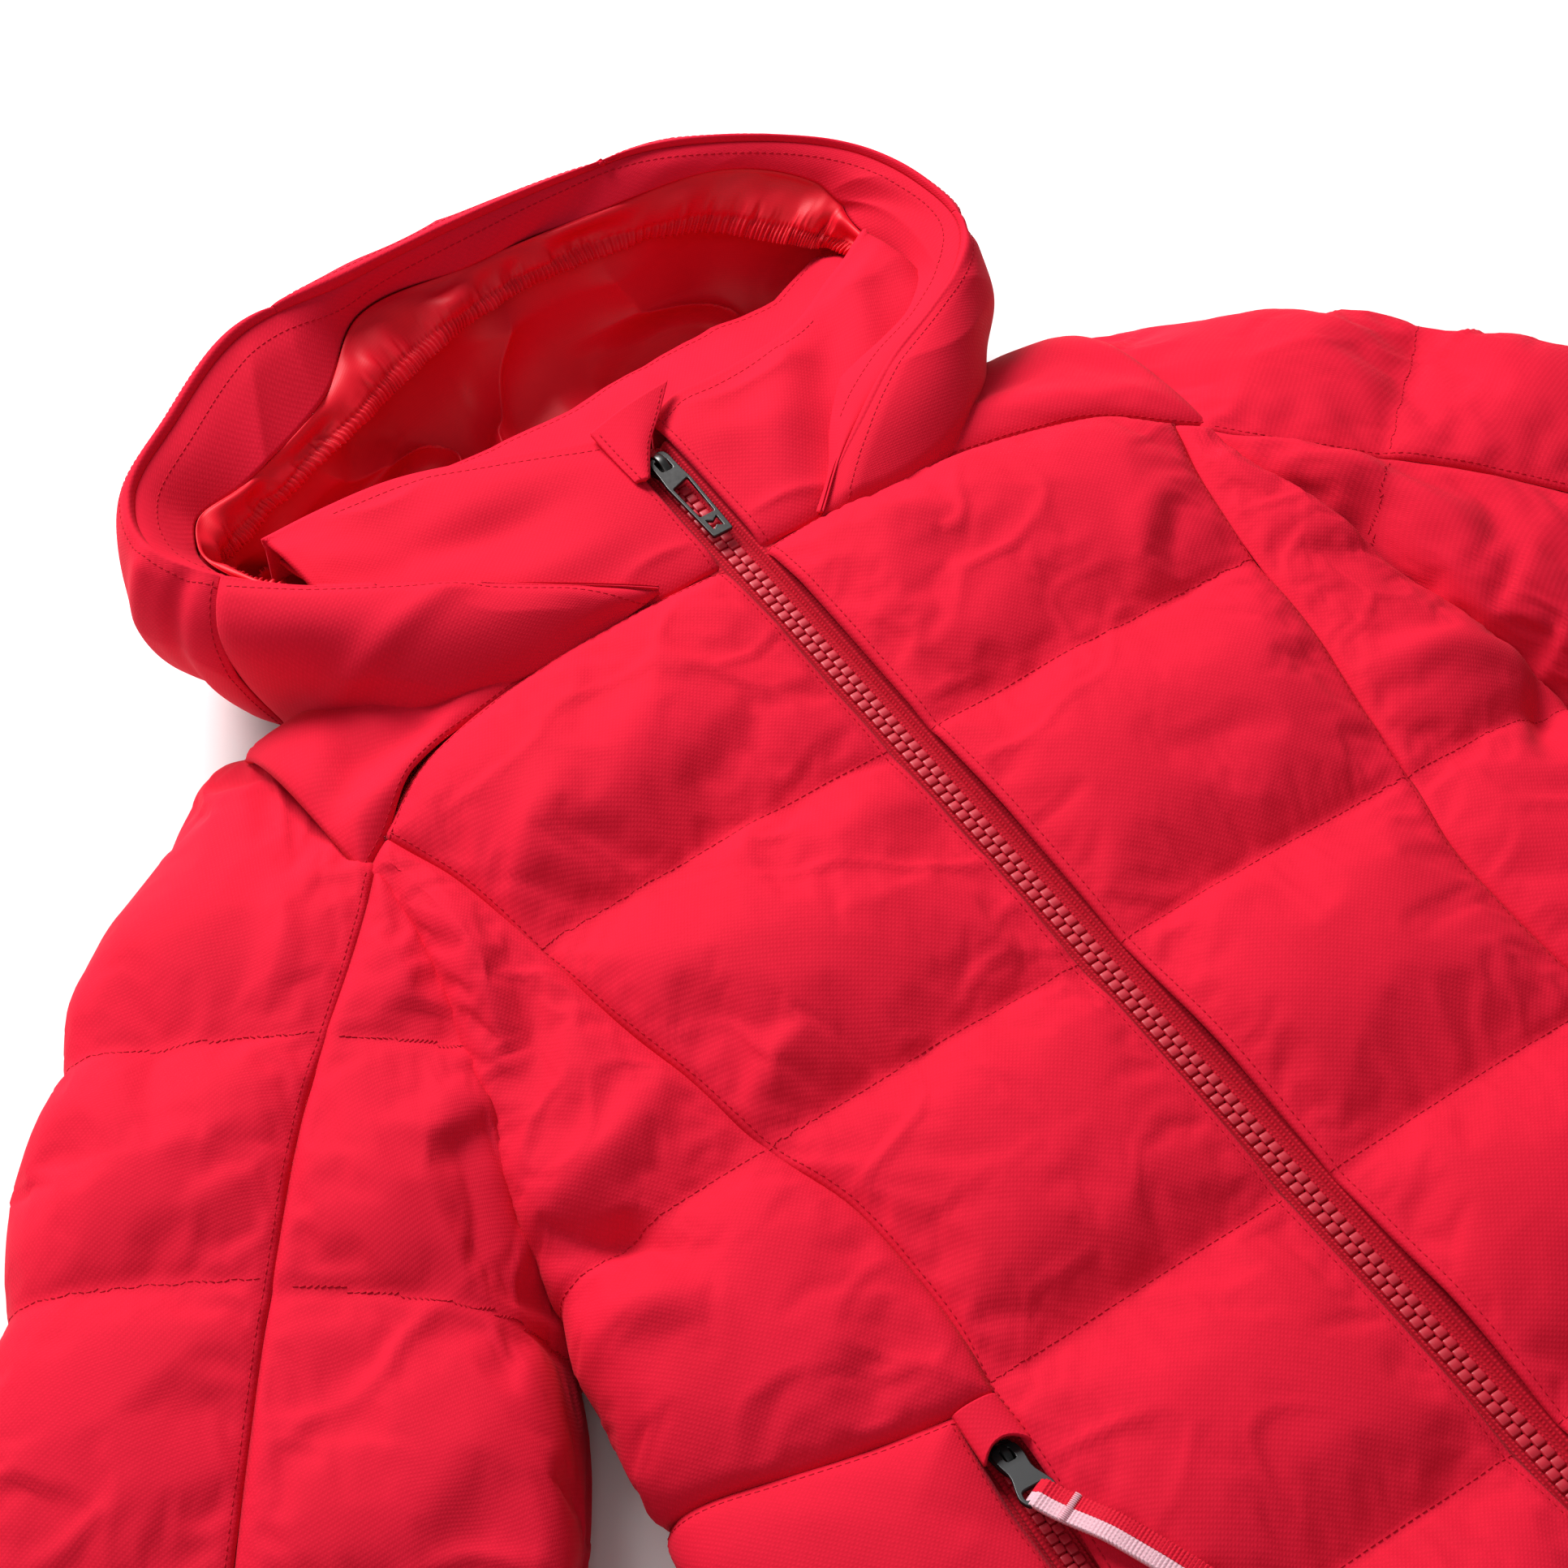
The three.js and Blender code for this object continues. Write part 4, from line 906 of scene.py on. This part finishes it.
# unit step from the rim to the facing's inner edge, and how far the rim rolls at each station
def rimRoll(u, line):
    inward = line[:, :, 3] - line[:, :, 0]
    inward = inward / (np.linalg.norm(inward, axis=-1, keepdims=True) + 1e-9)
    return inward, hood["lip"] * smooth(np.minimum(u, 1 - u) * 14)[:, None, None]


# push a sheet out by h on the side that looks the given way in part of its grid
def raised(p, h, part, outward):
    n = gridNormals(p)
    side = 1 if (n[part] * np.array(outward)).sum() > 0 else -1
    p = p + n * side * h[..., None]
    return p if side > 0 else p[::-1]


# outer cloth of the hood: Bezier from rim to foot, rolled over the rim, with soft creases
def hoodShell(name, u0, u1, node, seed):
    u = np.linspace(u0, u1, max(int((u1 - u0) * hood["around"] * 2.2), 24))
    line = hoodLines(u)[:, None]
    p = spread(line[:, :, 0], line[:, :, 1], line[:, :, 2], np.linspace(0, 1, 64)[None, :, None])
    inward, lip = rimRoll(u, line)
    roll = np.linspace(1, 0, 9)[None, :-1, None]
    over = line[:, :, 0] + inward * lip * roll + np.array([0, 0, 1.0]) * lip * 0.35 * np.sin(np.pi * roll)
    p = np.concatenate([over, p], 1)
    if (gridNormals(p)[:, 30] * (p[:, 30] - np.array([-5, 200, 40]))).sum() < 0:
        p, u = p[::-1], u[::-1]
    v = runs(p, 1)
    girth = v[:, -1:]
    s = u[:, None] * hood["run"]
    ends = np.minimum(np.abs(u - u0), np.abs(u1 - u))[:, None] * hood["run"]
    free = smooth(v / 12) * smooth((girth - v) / 10)
    h = softNoise(s / 70, v / 50, seed) * 1.8 * free
    bend = softNoise(s / 60, v / 50, seed + 2) * 0.5
    h += (ridges(s / 90 + v / 120, v / 44 + bend, seed + 1) - 0.3) * 1.2 * free
    h += 1.4 * (pillow(ends, 3) - 1) * free + hood["puff"] * pillow(ends, 14) * free
    for at, slant, width, height in hood["creases"]:
        away = s - at * hood["run"] - slant * (v / (girth + 1e-9) - 0.5)
        h += height * np.exp(-(away / width) ** 2) * free
    p = p + gridNormals(p) * h[..., None]
    p[..., 2] = np.maximum(p[..., 2], 0.5)
    hoodPiece(name, p, shell, 1.6, node)
    n, m = p.shape[:2]
    a = np.linspace(0.3, n - 1.3, 500)
    sew(hoodKey, p, a, indexAt(runs(p, 1), a, 8.6))
    if u0 > 0:
        beside = 2.6 * (n - 1) / (runs(p, 0)[-1].mean() + 1e-9)
        sew(hoodKey, p, np.full(300, beside), np.linspace(9, m - 2, 300))


seamU = (0.0, 0.197, 0.415, 0.60, 0.80, 1.0)
for i, (part, side) in enumerate((("cheek", "_right"), ("side", "_right"), ("crown", ""), ("side", "_left"),
                                  ("cheek", "_left"))):
    hoodShell(f"hood_{part}_cloth{side}", seamU[i], seamU[i + 1], f"hood_{part}{side}", 401 + 10 * i)

# facing inside the rim
u = np.linspace(0, 1, 760)
line = hoodLines(u)[:, None]
inward, lip = rimRoll(u, line)
rimIn = line[:, :, 0] + inward * lip * 0.9 - np.array([0, 0, 0.3])
middle = 0.5 * (rimIn + line[:, :, 3]) + np.array([0, 0, 1.5]) - inward * 2.0
brim = spread(rimIn, middle, line[:, :, 3], np.linspace(0, 1, 30)[None, :, None])
s, v = u[:, None] * hood["run"], runs(brim, 1)
h = softNoise(s / 60, v / 40, 511) * 2.6 + (ridges(s / 90 + v / 70, v / 90, 512) - 0.35) * 2.4
h = h * smooth(v / 16) * np.clip(v[:, -1:] / 30, 0, 1)
brim = raised(brim, h, np.s_[380, 15], (0, -1, 0.6))
hoodPiece("hood_brim_facing", brim, shell, 1.2, "hood_facing")
step = runs(brim, 1)
a = np.linspace(0.03, 0.97, 900) * (len(brim) - 1)
b = indexAt(step, a, 8.4)
wideEnough = step[a.round().astype(int), -1] > 14
sew(hoodKey, brim, a[wideEnough], b[wideEnough])

# gaiter: satin gathered on an elastic, full of small pleats that open toward the facing
u = np.linspace(0.165, 0.845, 1750)
line = hoodLines(u)[:, None]
middle = 0.5 * (line[:, :, 3] + line[:, :, 4]) + np.array([0, 0, 3.0])
gaiter = spread(line[:, :, 3], middle, line[:, :, 4], np.linspace(0, 1, 44)[None, :, None])
s, v = u[:, None] * hood["run"], np.linspace(0, 1, 44)[None]
pleat = softNoise(s / 4.2 + 0.6 * softNoise(s / 9, v * 3, 526), v * 1.5, 521) * 1.1 * smooth((v - 0.45) * 2.4)
pleat = pleat + softNoise(s / 15.0, v * 1.6, 522) * 2.2 * smooth(v * 1.6)
pleat = pleat + softNoise(s / 38, v * 1.4, 523) * 5.0 * np.sin(np.pi * v)
casing = 0.5 * np.exp(-((v - 0.93) / 0.07) ** 2) - 0.6 * np.exp(-((v - 0.80) / 0.04) ** 2)
edgeWave = 0.75 * np.sin(s / 0.62 + 2 * softNoise(s / 12, 0 * s, 524)) * smooth((v - 0.72) * 6)
gaiter = raised(gaiter, (pleat + casing + edgeWave) * smooth(v * 9), np.s_[750, 20], (0, -0.6, 1))
hoodPiece("hood_gaiter_satin", gaiter, satin, 1.0, "hood_gaiter")

# bowl: lining that drops behind the gathered edge, sinks and comes up to the collar, in long soft folds
u = np.linspace(0.15, 0.87, 620)
line = hoodLines(u)[:, None]
edge = line[:, :, 4] * 0.5 + line[:, :, 3] * 0.5 - np.array([0, 0, 8.0])
foot = line[:, :, 5] - np.array([0, 0, 4.0])
middle = 0.5 * (edge + foot) + np.array([0, 8.0, -16.0])
bowl = spread(edge, middle, foot, np.linspace(0, 1, 110)[None, :, None])
s, v = u[:, None] * hood["run"], np.linspace(0, 1, 110)[None]
bend = softNoise(s / 120, v * 2.5, 531) * 1.4
h = (ridges(s / 120 + bend, v * 0.7 + s / 300, 532) - 0.4) * 12
h = h + softNoise(s / 55 - bend, v * 1.5, 533) * 4 + softNoise(s / 22 + bend, v * 3, 534) * 0.6
bowl = raised(bowl, h * smooth(v * 6) * smooth((1 - v) * 7), np.s_[:, :], (0, 0, 1))
bowl[..., 2] = np.maximum(bowl[..., 2], 6.5)
hoodPiece("hood_bowl_satin", bowl, satin, 1.0, "hood_lining")

s, t = steps(-1, 1, 80, 0, 1, 30)
nape = sheet(s * (128 - 48 * t ** 2), 147 + 96 * t, 3.2 + 0.8 * softNoise(s * 5, t * 3, 541))
surface("hood_nape_cloth", facing(nape, (0, 0, -1)), shell, "torso", 1.5, ("hood_nape",))
print("hood done")


# collar
collar = {"thick": 6.0, "z": 75.4, "grid": (76, 58), "stitchedTo": {"right": 112, "left": 88}}
collarTop = {"right": ((8.7, 179), (23, 184), (50, 195), (86, 206.5), (115, 208.5), (138, 208)),
             "left": ((8.7, 178), (26, 184), (36, 183.5), (58, 184.5), (80, 188), (106, 201), (131, 213))}
collarFolds = {
    "right": ((-30, 132, -110, 150, 12, 2.4), (-40, 160, -120, 176, 9, -2.0), (-100, 168, -132, 196, 8, 2.0)),
    "left": ((30, 112, 66, 170, 11, 2.2), (60, 130, 100, 186, 10, -2.2), (96, 160, 120, 200, 8, 2.0)),
}
for side, sign in sides:
    foot = ((placket, 104.6), (34, 103.2), (66, 108), (100, 124), (137, 152))
    top = collarTop[side]
    flat = coons(foot, top, (foot[0], (placket, 140), top[0]), (foot[-1], (136, 180), top[-1]), *collar["grid"])
    a, q = steps(0, 1, collar["grid"][0], 0, 1, collar["grid"][1])
    z = collar["z"] + 3.2 * np.sin(np.pi * q) * np.sin(np.pi * a) ** 0.7
    z = z - 1.6 * smooth((q - 0.8) * 5) - 1.2 * (1 - smooth(q * 8))
    z = z + 3.0 * smooth((a - 0.86) * 8) * smooth((q - 0.35) * 3) * (sign > 0)
    p = sheet(flat[..., 0] * sign, flat[..., 1], z)
    # over the top edge and down inside
    roll = np.linspace(0, 1, 12)[None, 1:]
    back = p[:, -1:] + sheet(0, 2.6 * np.sin(np.pi * roll), -collar["thick"] * roll)
    p = facing(np.concatenate([p, back, back[:, -1:] + sheet(0, -1.5 * roll, -16 * roll)], 1), (0, 0, 1))
    w, e, south, _ = edgeDistances(p)
    topRun = south[:, collar["grid"][1] - 1, None]
    below, zipSide = topRun - south, np.minimum(w, e)
    free = pillow(np.minimum(zipSide, south), 9) * np.clip(below / 10, 0, 1)
    h = softNoise(p[..., 0] / 34, p[..., 1] / 30, 611 + sign) * 1.6
    h = h + (ridges(p[..., 0] / 40 + p[..., 1] / 46, p[..., 1] / 26, 613 + sign) - 0.3) * 1.8
    dent = 1.5 * (pillow(zipSide, 0.9) - 1) - 0.6 * np.exp(-((zipSide - 3.2) / 1.1) ** 2)
    dent = dent + 1.8 * (pillow(south, 2.2) - 1)
    h = h * free + dent * (below > 0) + foldHeight(p, collarFolds[side]) * free
    p = p + gridNormals(p) * h[..., None]
    surface(f"collar_front_cloth_{side}", p, shell, "torso", 1.4, (f"collar_front_{side}",))
    sewEdges("torso", p, "w" if abs(p[0, 5, 0]) < abs(p[-1, 5, 0]) else "e", 3.2)
    step = runs(p, 1)
    a = np.linspace(0.03, 0.97, 500) * (len(p) - 1)
    i = a.round().astype(int)
    across = np.abs(p[i, collar["grid"][1] - 1, 0])
    seen = (across > 10) & (across < collar["stitchedTo"][side])
    sew("torso", p, a[seen], indexAt(step, a, step[i, collar["grid"][1] - 1] - 5.2)[seen])

collarBack = {"half": 134, "foot": 182, "thick": 1.6,
              "top": ((-134, 207), (-110, 217), (-62, 223.5), (0, 223), (69, 228), (97, 225), (120, 231),
                      (134, 216)),
              # share of the height, z away from the wearer, kept in order round the top edge
              "profile": ((0, 40, 62), (0.45, 20, 54), (0.93, 2, 46.5), (1.0, -1.5, 44), (1.0, -3.5, 40),
                          (0.9, -2.5, 30), (0.6, 0, 16))}
x = np.linspace(-collarBack["half"], collarBack["half"], 260)[:, None]
profile = curve(collarBack["profile"], np.linspace(0, 1, 70))[None]
y = collarBack["foot"] + (tableAt(collarBack["top"], x) + 2 - collarBack["foot"]) * profile[..., 0]
band = sheet(x, y, profile[..., 2] + 14 * (np.abs(x) / collarBack["half"]) ** 6)
if gridNormals(band)[130, 15, 2] < 0:
    band = band[::-1]
h = softNoise(band[..., 0] / 30, band[..., 1] / 20, 631) * 1.2
h = h + softNoise(band[..., 0] / 9, band[..., 1] / 26, 632) * 0.5
band = band + gridNormals(band) * h[..., None]
surface("collar_back_cloth", band, shell, "torso", collarBack["thick"], ("collar_back",))
step = runs(band, 1)
a = np.linspace(2, 257, 600)
i = a.round().astype(int)
sew("torso", band, a, indexAt(step, a, step[i, np.argmax(band[..., 1], axis=1)[i]] - 6.0))

# flap that garages the zip pull, folded over the top end of the zip
garage = {"z": 77.6, "south": ((-14.5, 152), (-9, 150.5), (-8.6, 151)),
          "north": ((-15, 182), (2, 184.5), (23, 187.5)), "west": ((-14.5, 152), (-15, 168), (-15, 182)),
          "east": ((-8.6, 151), (1.6, 166), (12, 176), (23, 187.5))}
flat = coons(garage["south"], garage["north"], garage["west"], garage["east"], 40, 40)
s, t = steps(0, 1, 40, 0, 1, 40)
p = facing(sheet(flat[..., 0], flat[..., 1], garage["z"] + 1.6 * np.sin(np.pi * s) + 1.4 * t * s), (0, 0, 1))
surface("zip_garage_cloth", p, shell, "torso", 1.7, ("zip_garage",))
sewEdges("torso", p, "we", 2.4)
x, t = steps(-35, 35, 60, -3, 3, 8)
loop = sheet(x, 159 + t, 31 + 5 * np.cos(x / 35 * np.pi / 2))
surface("hanger_tape", facing(loop, (0, 0, 1)), loopCloth, "torso", 1.2, ("hanger_loop",))
print("collar done")


# zips
zipper = {"pitch": 4.5, "plane": 68.75, "top": 168.0, "low": -519.0, "tapeHalf": 15.5,
          "tooth": (3.9, 3.75, 2.3), "row": 1.95, "sunk": 0.8}
tooth = lathedBlock(*zipper["tooth"], power=7.0, turns=12, levels=(0.0, 0.70, 0.92, 1.0),
                    shrink=(1, 1, 0.95, 0.80))
tooth[0][:, 2] -= zipper["sunk"]


# one tape with its row of teeth; the other half is half a pitch further down
def zipHalf(name, origin, angle, plane, low, scale, tapeSide, nodes):
    pitch = zipper["pitch"] * scale
    count = int(-low / pitch)
    along = -(np.arange(count) + (0.25 if tapeSide > 0 else 0.75)) * pitch
    spots = sheet(*turned(np.full(count, tapeSide * zipper["row"] * scale), along, angle, origin), plane)
    stamp(f"{name}_teeth", tooth, spots, turnAxes(angle) * scale, teethPlastic, "torso", nodes)
    # tape: flat cloth with a woven cord beside the teeth
    x, y = steps(0.35, zipper["tapeHalf"], 34, 0, low, 260)
    cord = 1.1 * np.exp(-((x - 4.9) / 0.8) ** 2) + 2.6 * smooth((x - 6.0) / 2.4)
    p = sheet(*turned(x * scale * tapeSide, y, angle, origin), plane + 0.1 + cord * scale)
    surface(f"{name}_tape", facing(p, (0, 0, 1)), tape, "torso", 0.9, nodes)


# a stamped plate: a flat closed outline with holes, given thickness and eased edges
def flatPlate(name, outlines, thickness, round_, matrix, material, body, nodes=()):
    data = bpy.data.curves.new(name, "CURVE")
    data.dimensions, data.fill_mode = "2D", "BOTH"
    data.extrude, data.bevel_depth = thickness * 0.0005 - round_ * 0.001, round_ * 0.001
    data.bevel_resolution = 2
    data.offset = -round_ * 0.001
    for outline in outlines:
        pts = np.array(outline, float) * 0.001
        sp = data.splines.new("POLY")
        sp.points.add(len(pts) - 1)
        sp.points.foreach_set("co", np.c_[pts, np.zeros(len(pts)), np.ones(len(pts))].ravel())
        sp.use_cyclic_u = True
    temp = bpy.data.objects.new(name + "_outline", data)
    bpy.context.scene.collection.objects.link(temp)
    mesh = bpy.data.meshes.new_from_object(temp.evaluated_get(bpy.context.evaluated_depsgraph_get()))
    bpy.data.objects.remove(temp)
    mesh.name = name
    mesh.transform(matrix)
    mesh.materials.clear()
    mesh.materials.append(material)
    ob = bpy.data.objects.new(name, mesh)
    bpy.context.scene.collection.objects.link(ob)
    weld = ob.modifiers.new("weld", "WELD")
    weld.merge_threshold = 0.000005
    settle(ob, body, nodes)


# corners cut back by a radius and turned with a quadratic arc
def rounded(points, radius, steps=4):
    p = np.array(points, float)
    before, after = np.roll(p, 1, 0) - p, np.roll(p, -1, 0) - p
    back, ahead = (np.linalg.norm(q, axis=1, keepdims=True) for q in (before, after))
    reach = np.minimum(radius, 0.45 * np.minimum(back, ahead))
    a, b = p + before / back * reach, p + after / ahead * reach
    t = np.linspace(0, 1, steps)[None, :, None]
    return ((1 - t) ** 2 * a[:, None] + 2 * t * (1 - t) * p[:, None] + t ** 2 * b[:, None]).reshape(-1, 2)


# place a part drawn in millimetres about its own origin: tilt about X, then turn about Z, then move
def frameAt(x, y, z, angle=0.0, tilt=0.0):
    spin = Matrix.Rotation(angle, 4, "Z") @ Matrix.Rotation(tilt, 4, "X")
    return Matrix.Translation(Vector(place((x, y, z)))) @ spin


# the slider's bridge: a rounded strip carried along an arch, height = rise * sin^0.6
def arch(name, length, rise, width, thick, matrix, material, body):
    t = np.linspace(0, 1, 18)
    y = (t - 0.5) * length
    z = rise * np.sin(np.pi * t) ** 0.6
    ringT = np.arange(12) / 12 * 2 * np.pi
    c, s = np.cos(ringT), np.sin(ringT)
    x = np.sign(c) * np.abs(c) ** 0.5 * width / 2
    k = np.sign(s) * np.abs(s) ** 0.5 * thick / 2
    path = np.stack([0 * y, y, z], -1)
    d = np.gradient(path, axis=0)
    d /= np.linalg.norm(d, axis=1, keepdims=True)
    up = np.stack([0 * y, -d[:, 2], d[:, 1]], -1)
    p = path[None] + x[:, None, None] * np.array([1.0, 0, 0]) + k[:, None, None] * up[None]
    ob = meshObject(name, p.reshape(-1, 3) * 0.001, gridQuads(12, 18, wrap=True, caps=True)[:, ::-1], material)
    ob.data.transform(matrix)
    settle(ob, body)


# two teardrop plates round the chain, a post between the rows and a bridge over the pull
def sliderBody(prefix, x, y, plane, angle, material, scale):
    wing = np.array(((-3.0, -7.0), (3.0, -7.0), (4.6, -3.0), (5.7, 4.0), (4.6, 6.6), (1.6, 7.2), (0, 6.2),
                     (-1.6, 7.2), (-4.6, 6.6), (-5.7, 4.0), (-4.6, -3.0))) * scale
    post = np.array(((-0.6, 2.6), (0.6, 2.6), (0.6, 5.4), (-0.6, 5.4))) * scale
    for part, outline, corner, thick, edge, height, nodes in (
            ("top_plate", wing, 1.6, 1.6, 0.4, 3.4, (prefix,)), ("under_plate", wing, 1.6, 1.4, 0.35, -2.9, ()),
            ("post", post, 0.5, 6.0, 0.2, 0.3, ())):
        flatPlate(f"{prefix}_{part}", [rounded(outline, corner * scale)], thick * scale, edge * scale,
                  frameAt(x, y, plane + height * scale, angle), material, prefix, nodes)
    arch(f"{prefix}_bridge", 11.0 * scale, 3.6 * scale, 3.2 * scale, 1.3 * scale,
         frameAt(x, y, plane + 4.0 * scale, angle), material, prefix)


mainPull = {
    "plate": ((-4.4, 3.0), (4.4, 3.0), (4.7, -6), (5.2, -12), (4.2, -41), (-4.2, -41), (-5.2, -12), (-4.7, -6)),
    "eye": ((-2.5, 1.2), (2.5, 1.2), (2.5, -4.4), (-2.5, -4.4)),
    "window": ((-3.7, -13.6), (3.9, -11.2), (3.1, -30.4), (-3.1, -30.4)),
    "bow": ((-2.3, -32.8), (0, -34.4), (2.3, -32.8), (2.1, -38.0), (0, -36.4), (-2.1, -38.0)),
    "corners": {"plate": 0.9, "eye": 0.9, "window": 0.5, "bow": 0.3},
    "y": 157, "z": 74.35, "thick": 1.6, "edge": 0.32}
pocketPull = {
    "plate": ((-4.4, 3.0), (4.4, 3.0), (4.8, -2.0), (3.8, -8.5), (5.8, -14.5), (6.4, -17.6), (5.0, -21.4),
              (-5.0, -21.4), (-6.4, -17.6), (-5.8, -14.5), (-3.8, -8.5), (-4.8, -2.0)),
    "eye": ((-1.8, 1.6), (1.8, 1.6), (1.8, -3.2), (-1.8, -3.2)),
    "slot": ((-4.2, -14.8), (4.2, -14.8), (4.9, -18.8), (-4.9, -18.8)),
    "corners": {"plate": 2.4, "eye": 0.9, "slot": 1.4}, "z": 72.9, "tilt": -0.22, "thick": 1.6, "edge": 0.34}


def pullPlate(name, pull, matrix, material, body, node):
    outlines = [rounded(pull[part], radius) for part, radius in pull["corners"].items()]
    flatPlate(name, outlines, pull["thick"], pull["edge"], matrix, material, body, (node,))


for side, sign in sides:
    zipHalf(f"main_zip_{side}", (0, zipper["top"]), 0.0, zipper["plane"], zipper["low"] - zipper["top"], 1.0,
            sign, (f"main_zip_{side}",))
sliderBody("main_slider", 0, mainPull["y"], zipper["plane"], 0, gunmetal, 1.0)
pullPlate("main_pull_plate", mainPull, frameAt(0, mainPull["y"], mainPull["z"]), gunmetal, "main_pull",
          "main_pull_tab")
box = lathedBlock(10, 13, 5.4, power=6.0, turns=16, levels=(0, 0.15, 0.85, 1), shrink=(0.94, 1, 1, 0.9))
stamp("zip_retainer", box, np.array([[0, -525.3, 66.2]]), np.eye(3), teethPlastic, "torso", ("zip_box",))

pocket = {"angle": 0.0653, "top": (133.6, -229.0), "plane": 66.8157, "low": -166.0, "scale": 0.85, "slider": 9.0}
strap = {"start": 18.4, "turn": 0.45, "length": 62, "z": 79.2, "rib": 1.3, "tackZ": 80.7, "tacks": 15}
tack = lathedBlock(0.62, 2.6, 0.7, power=2.0, turns=8, levels=(0, 0.3, 0.75, 1), shrink=(0.8, 1, 0.9, 0.3))
for side, sign in sides:
    angle = sign * pocket["angle"]
    top = np.array(pocket["top"]) * (sign, 1)   # the slit lies beside the princess seam
    for which, tapeSide in (("a", 1), ("b", -1)):
        zipHalf(f"pocket_zip_{side}_{which}", top, angle, pocket["plane"], pocket["low"], pocket["scale"],
                tapeSide, (f"pocket_zip_{side}",))
    down = np.array((np.sin(angle), -np.cos(angle)))
    spot = top + down * pocket["slider"]
    sliderBody(f"pocket_slider_{side}", *spot, pocket["plane"], angle, blackMetal, pocket["scale"])
    matrix = frameAt(*spot, pocketPull["z"], angle, pocketPull["tilt"])
    pullPlate(f"pocket_pull_plate_{side}", pocketPull, matrix, blackMetal, f"pocket_pull_{side}",
              f"pocket_puller_{side}")
    # webbing: a folded ribbon in two colours with ribs across it, threaded through the pull
    turnZ = angle - sign * strap["turn"]
    start = spot + down * strap["start"]
    along = np.linspace(-3.0, strap["length"], 150)[None]
    rib = np.sin(along / strap["rib"] * 2 * np.pi)
    z = strap["z"] + 5.6 * smooth((along - 2) / 26) - 2.4 * smooth(-along / 3) - 1.6 * smooth((along - 40) / 22)
    for half, (x0, x1), mat in (("red", (0.0, 5.0), webRed), ("pale", (-4.8, 0.0), webPink)):
        x = np.linspace(x0, x1, 12)[:, None]
        p = sheet(*turned(x + 0.12 * rib * (np.abs(x) > 4.4), -along, turnZ, start), z + 0.22 * rib)
        surface(f"pocket_strap_{half}_{side}", facing(p, (0, 0, 1)), mat, f"pocket_pull_{side}", 2.0,
                (f"pocket_webbing_{side}",))
    across = np.linspace(-4.8, 4.8, strap["tacks"])
    stamp(f"bartack_{side}", tack, sheet(*turned(across, -10.0, turnZ, start), strap["tackZ"]), turnAxes(turnZ),
          webPink, f"pocket_pull_{side}")
    # little garage over the top of the pocket zip
    s, t = steps(-1, 1, 30, 0, 1, 30)
    x, y = s * (8.0 + 0.8 * t), 9.5 - 19.5 * t + 4.6 * (1 - s ** 2) * t ** 3
    z = 72.6 + 4.4 * np.sqrt(1 - (np.abs(s) * 0.97) ** 2.4) + 1.4 * t
    p = sheet(*turned(x, y, angle, top), z)
    surface(f"pocket_garage_{side}", facing(p, (0, 0, 1)), shell, "torso", 1.2)
print("zips done")


# thread
capQuads = gridQuads(6, 4, wrap=True, caps=True)
for key, sets in threads.items():
    pts = np.concatenate(sets)
    rigid = isinstance(key, str)
    name = key if rigid else "_".join(key[:2])
    ob = copies(f"stitching_{name}", pts, capQuads, thread)
    settle(ob, key if rigid else None)
    if not rigid:
        place(key[2])
        place(key[3])
        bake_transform(ob)
    print("stitches", name, len(pts))


# light, floor and camera
floorMat, floorTree, floorShader = nodeMaterial("paleFloor")
cloud = noise(floorTree, floorTree.nodes.new("ShaderNodeTexCoord").outputs["Object"], 1.5, 1.0)
floorTint = mixColor(floorTree, cloud, (0.94, 0.94, 0.94), (0.96, 0.96, 0.96))
floorTree.links.new(floorTint, floorShader.inputs["Base Color"])
floorShader.inputs["Roughness"].default_value = 0.9
floorGrid = sheet(*steps(-6, 6, 3, -6, 6, 3), -0.0006)
meshObject("floor", floorGrid.reshape(-1, 3), gridQuads(3, 3), floorMat)

world = bpy.data.worlds.new("paleRoom")
world.use_nodes = True
world.node_tree.nodes["Background"].inputs["Color"].default_value = (1, 1, 1, 1)
world.node_tree.nodes["Background"].inputs["Strength"].default_value = 0.23
bpy.context.scene.world = world


def softbox(name, spot, aim, size, power):
    light = bpy.data.lights.new(name, "AREA")
    light.shape, light.size, light.size_y, light.energy = "RECTANGLE", size[0], size[1], power
    ob = bpy.data.objects.new(name, light)
    bpy.context.scene.collection.objects.link(ob)
    ob.location = spot
    ob.rotation_euler = (Vector(aim) - Vector(spot)).to_track_quat("-Z", "Y").to_euler()


softbox("keyLight", (-0.15, 1.95, 1.42), (0, 0.05, 0), (1.2, 1.0), 85.0)
softbox("fillLight", (-1.4, -1.2, 2.2), (0, 0, 0), (2.2, 2.2), 14.0)

camera = bpy.data.cameras.new("camera")
camera.sensor_width = camera.sensor_height = 36.0
camera.lens = 85.73
camera.clip_start, camera.clip_end = 0.05, 30
eye = bpy.data.objects.new("camera", camera)
bpy.context.scene.collection.objects.link(eye)
right, up = (0.82620322, -0.5633523, -0.00473612), (0.44797151, 0.65184339, 0.6119001)
back = (-0.34162812, -0.50767547, 0.79092088)
turn = Matrix((right, up, back)).transposed().to_4x4()
eye.matrix_world = Matrix.Translation((-0.482288, -0.638408 + rowY, 1.083265)) @ turn
bpy.context.scene.camera = eye
bpy.context.scene.view_settings.view_transform = "Standard"
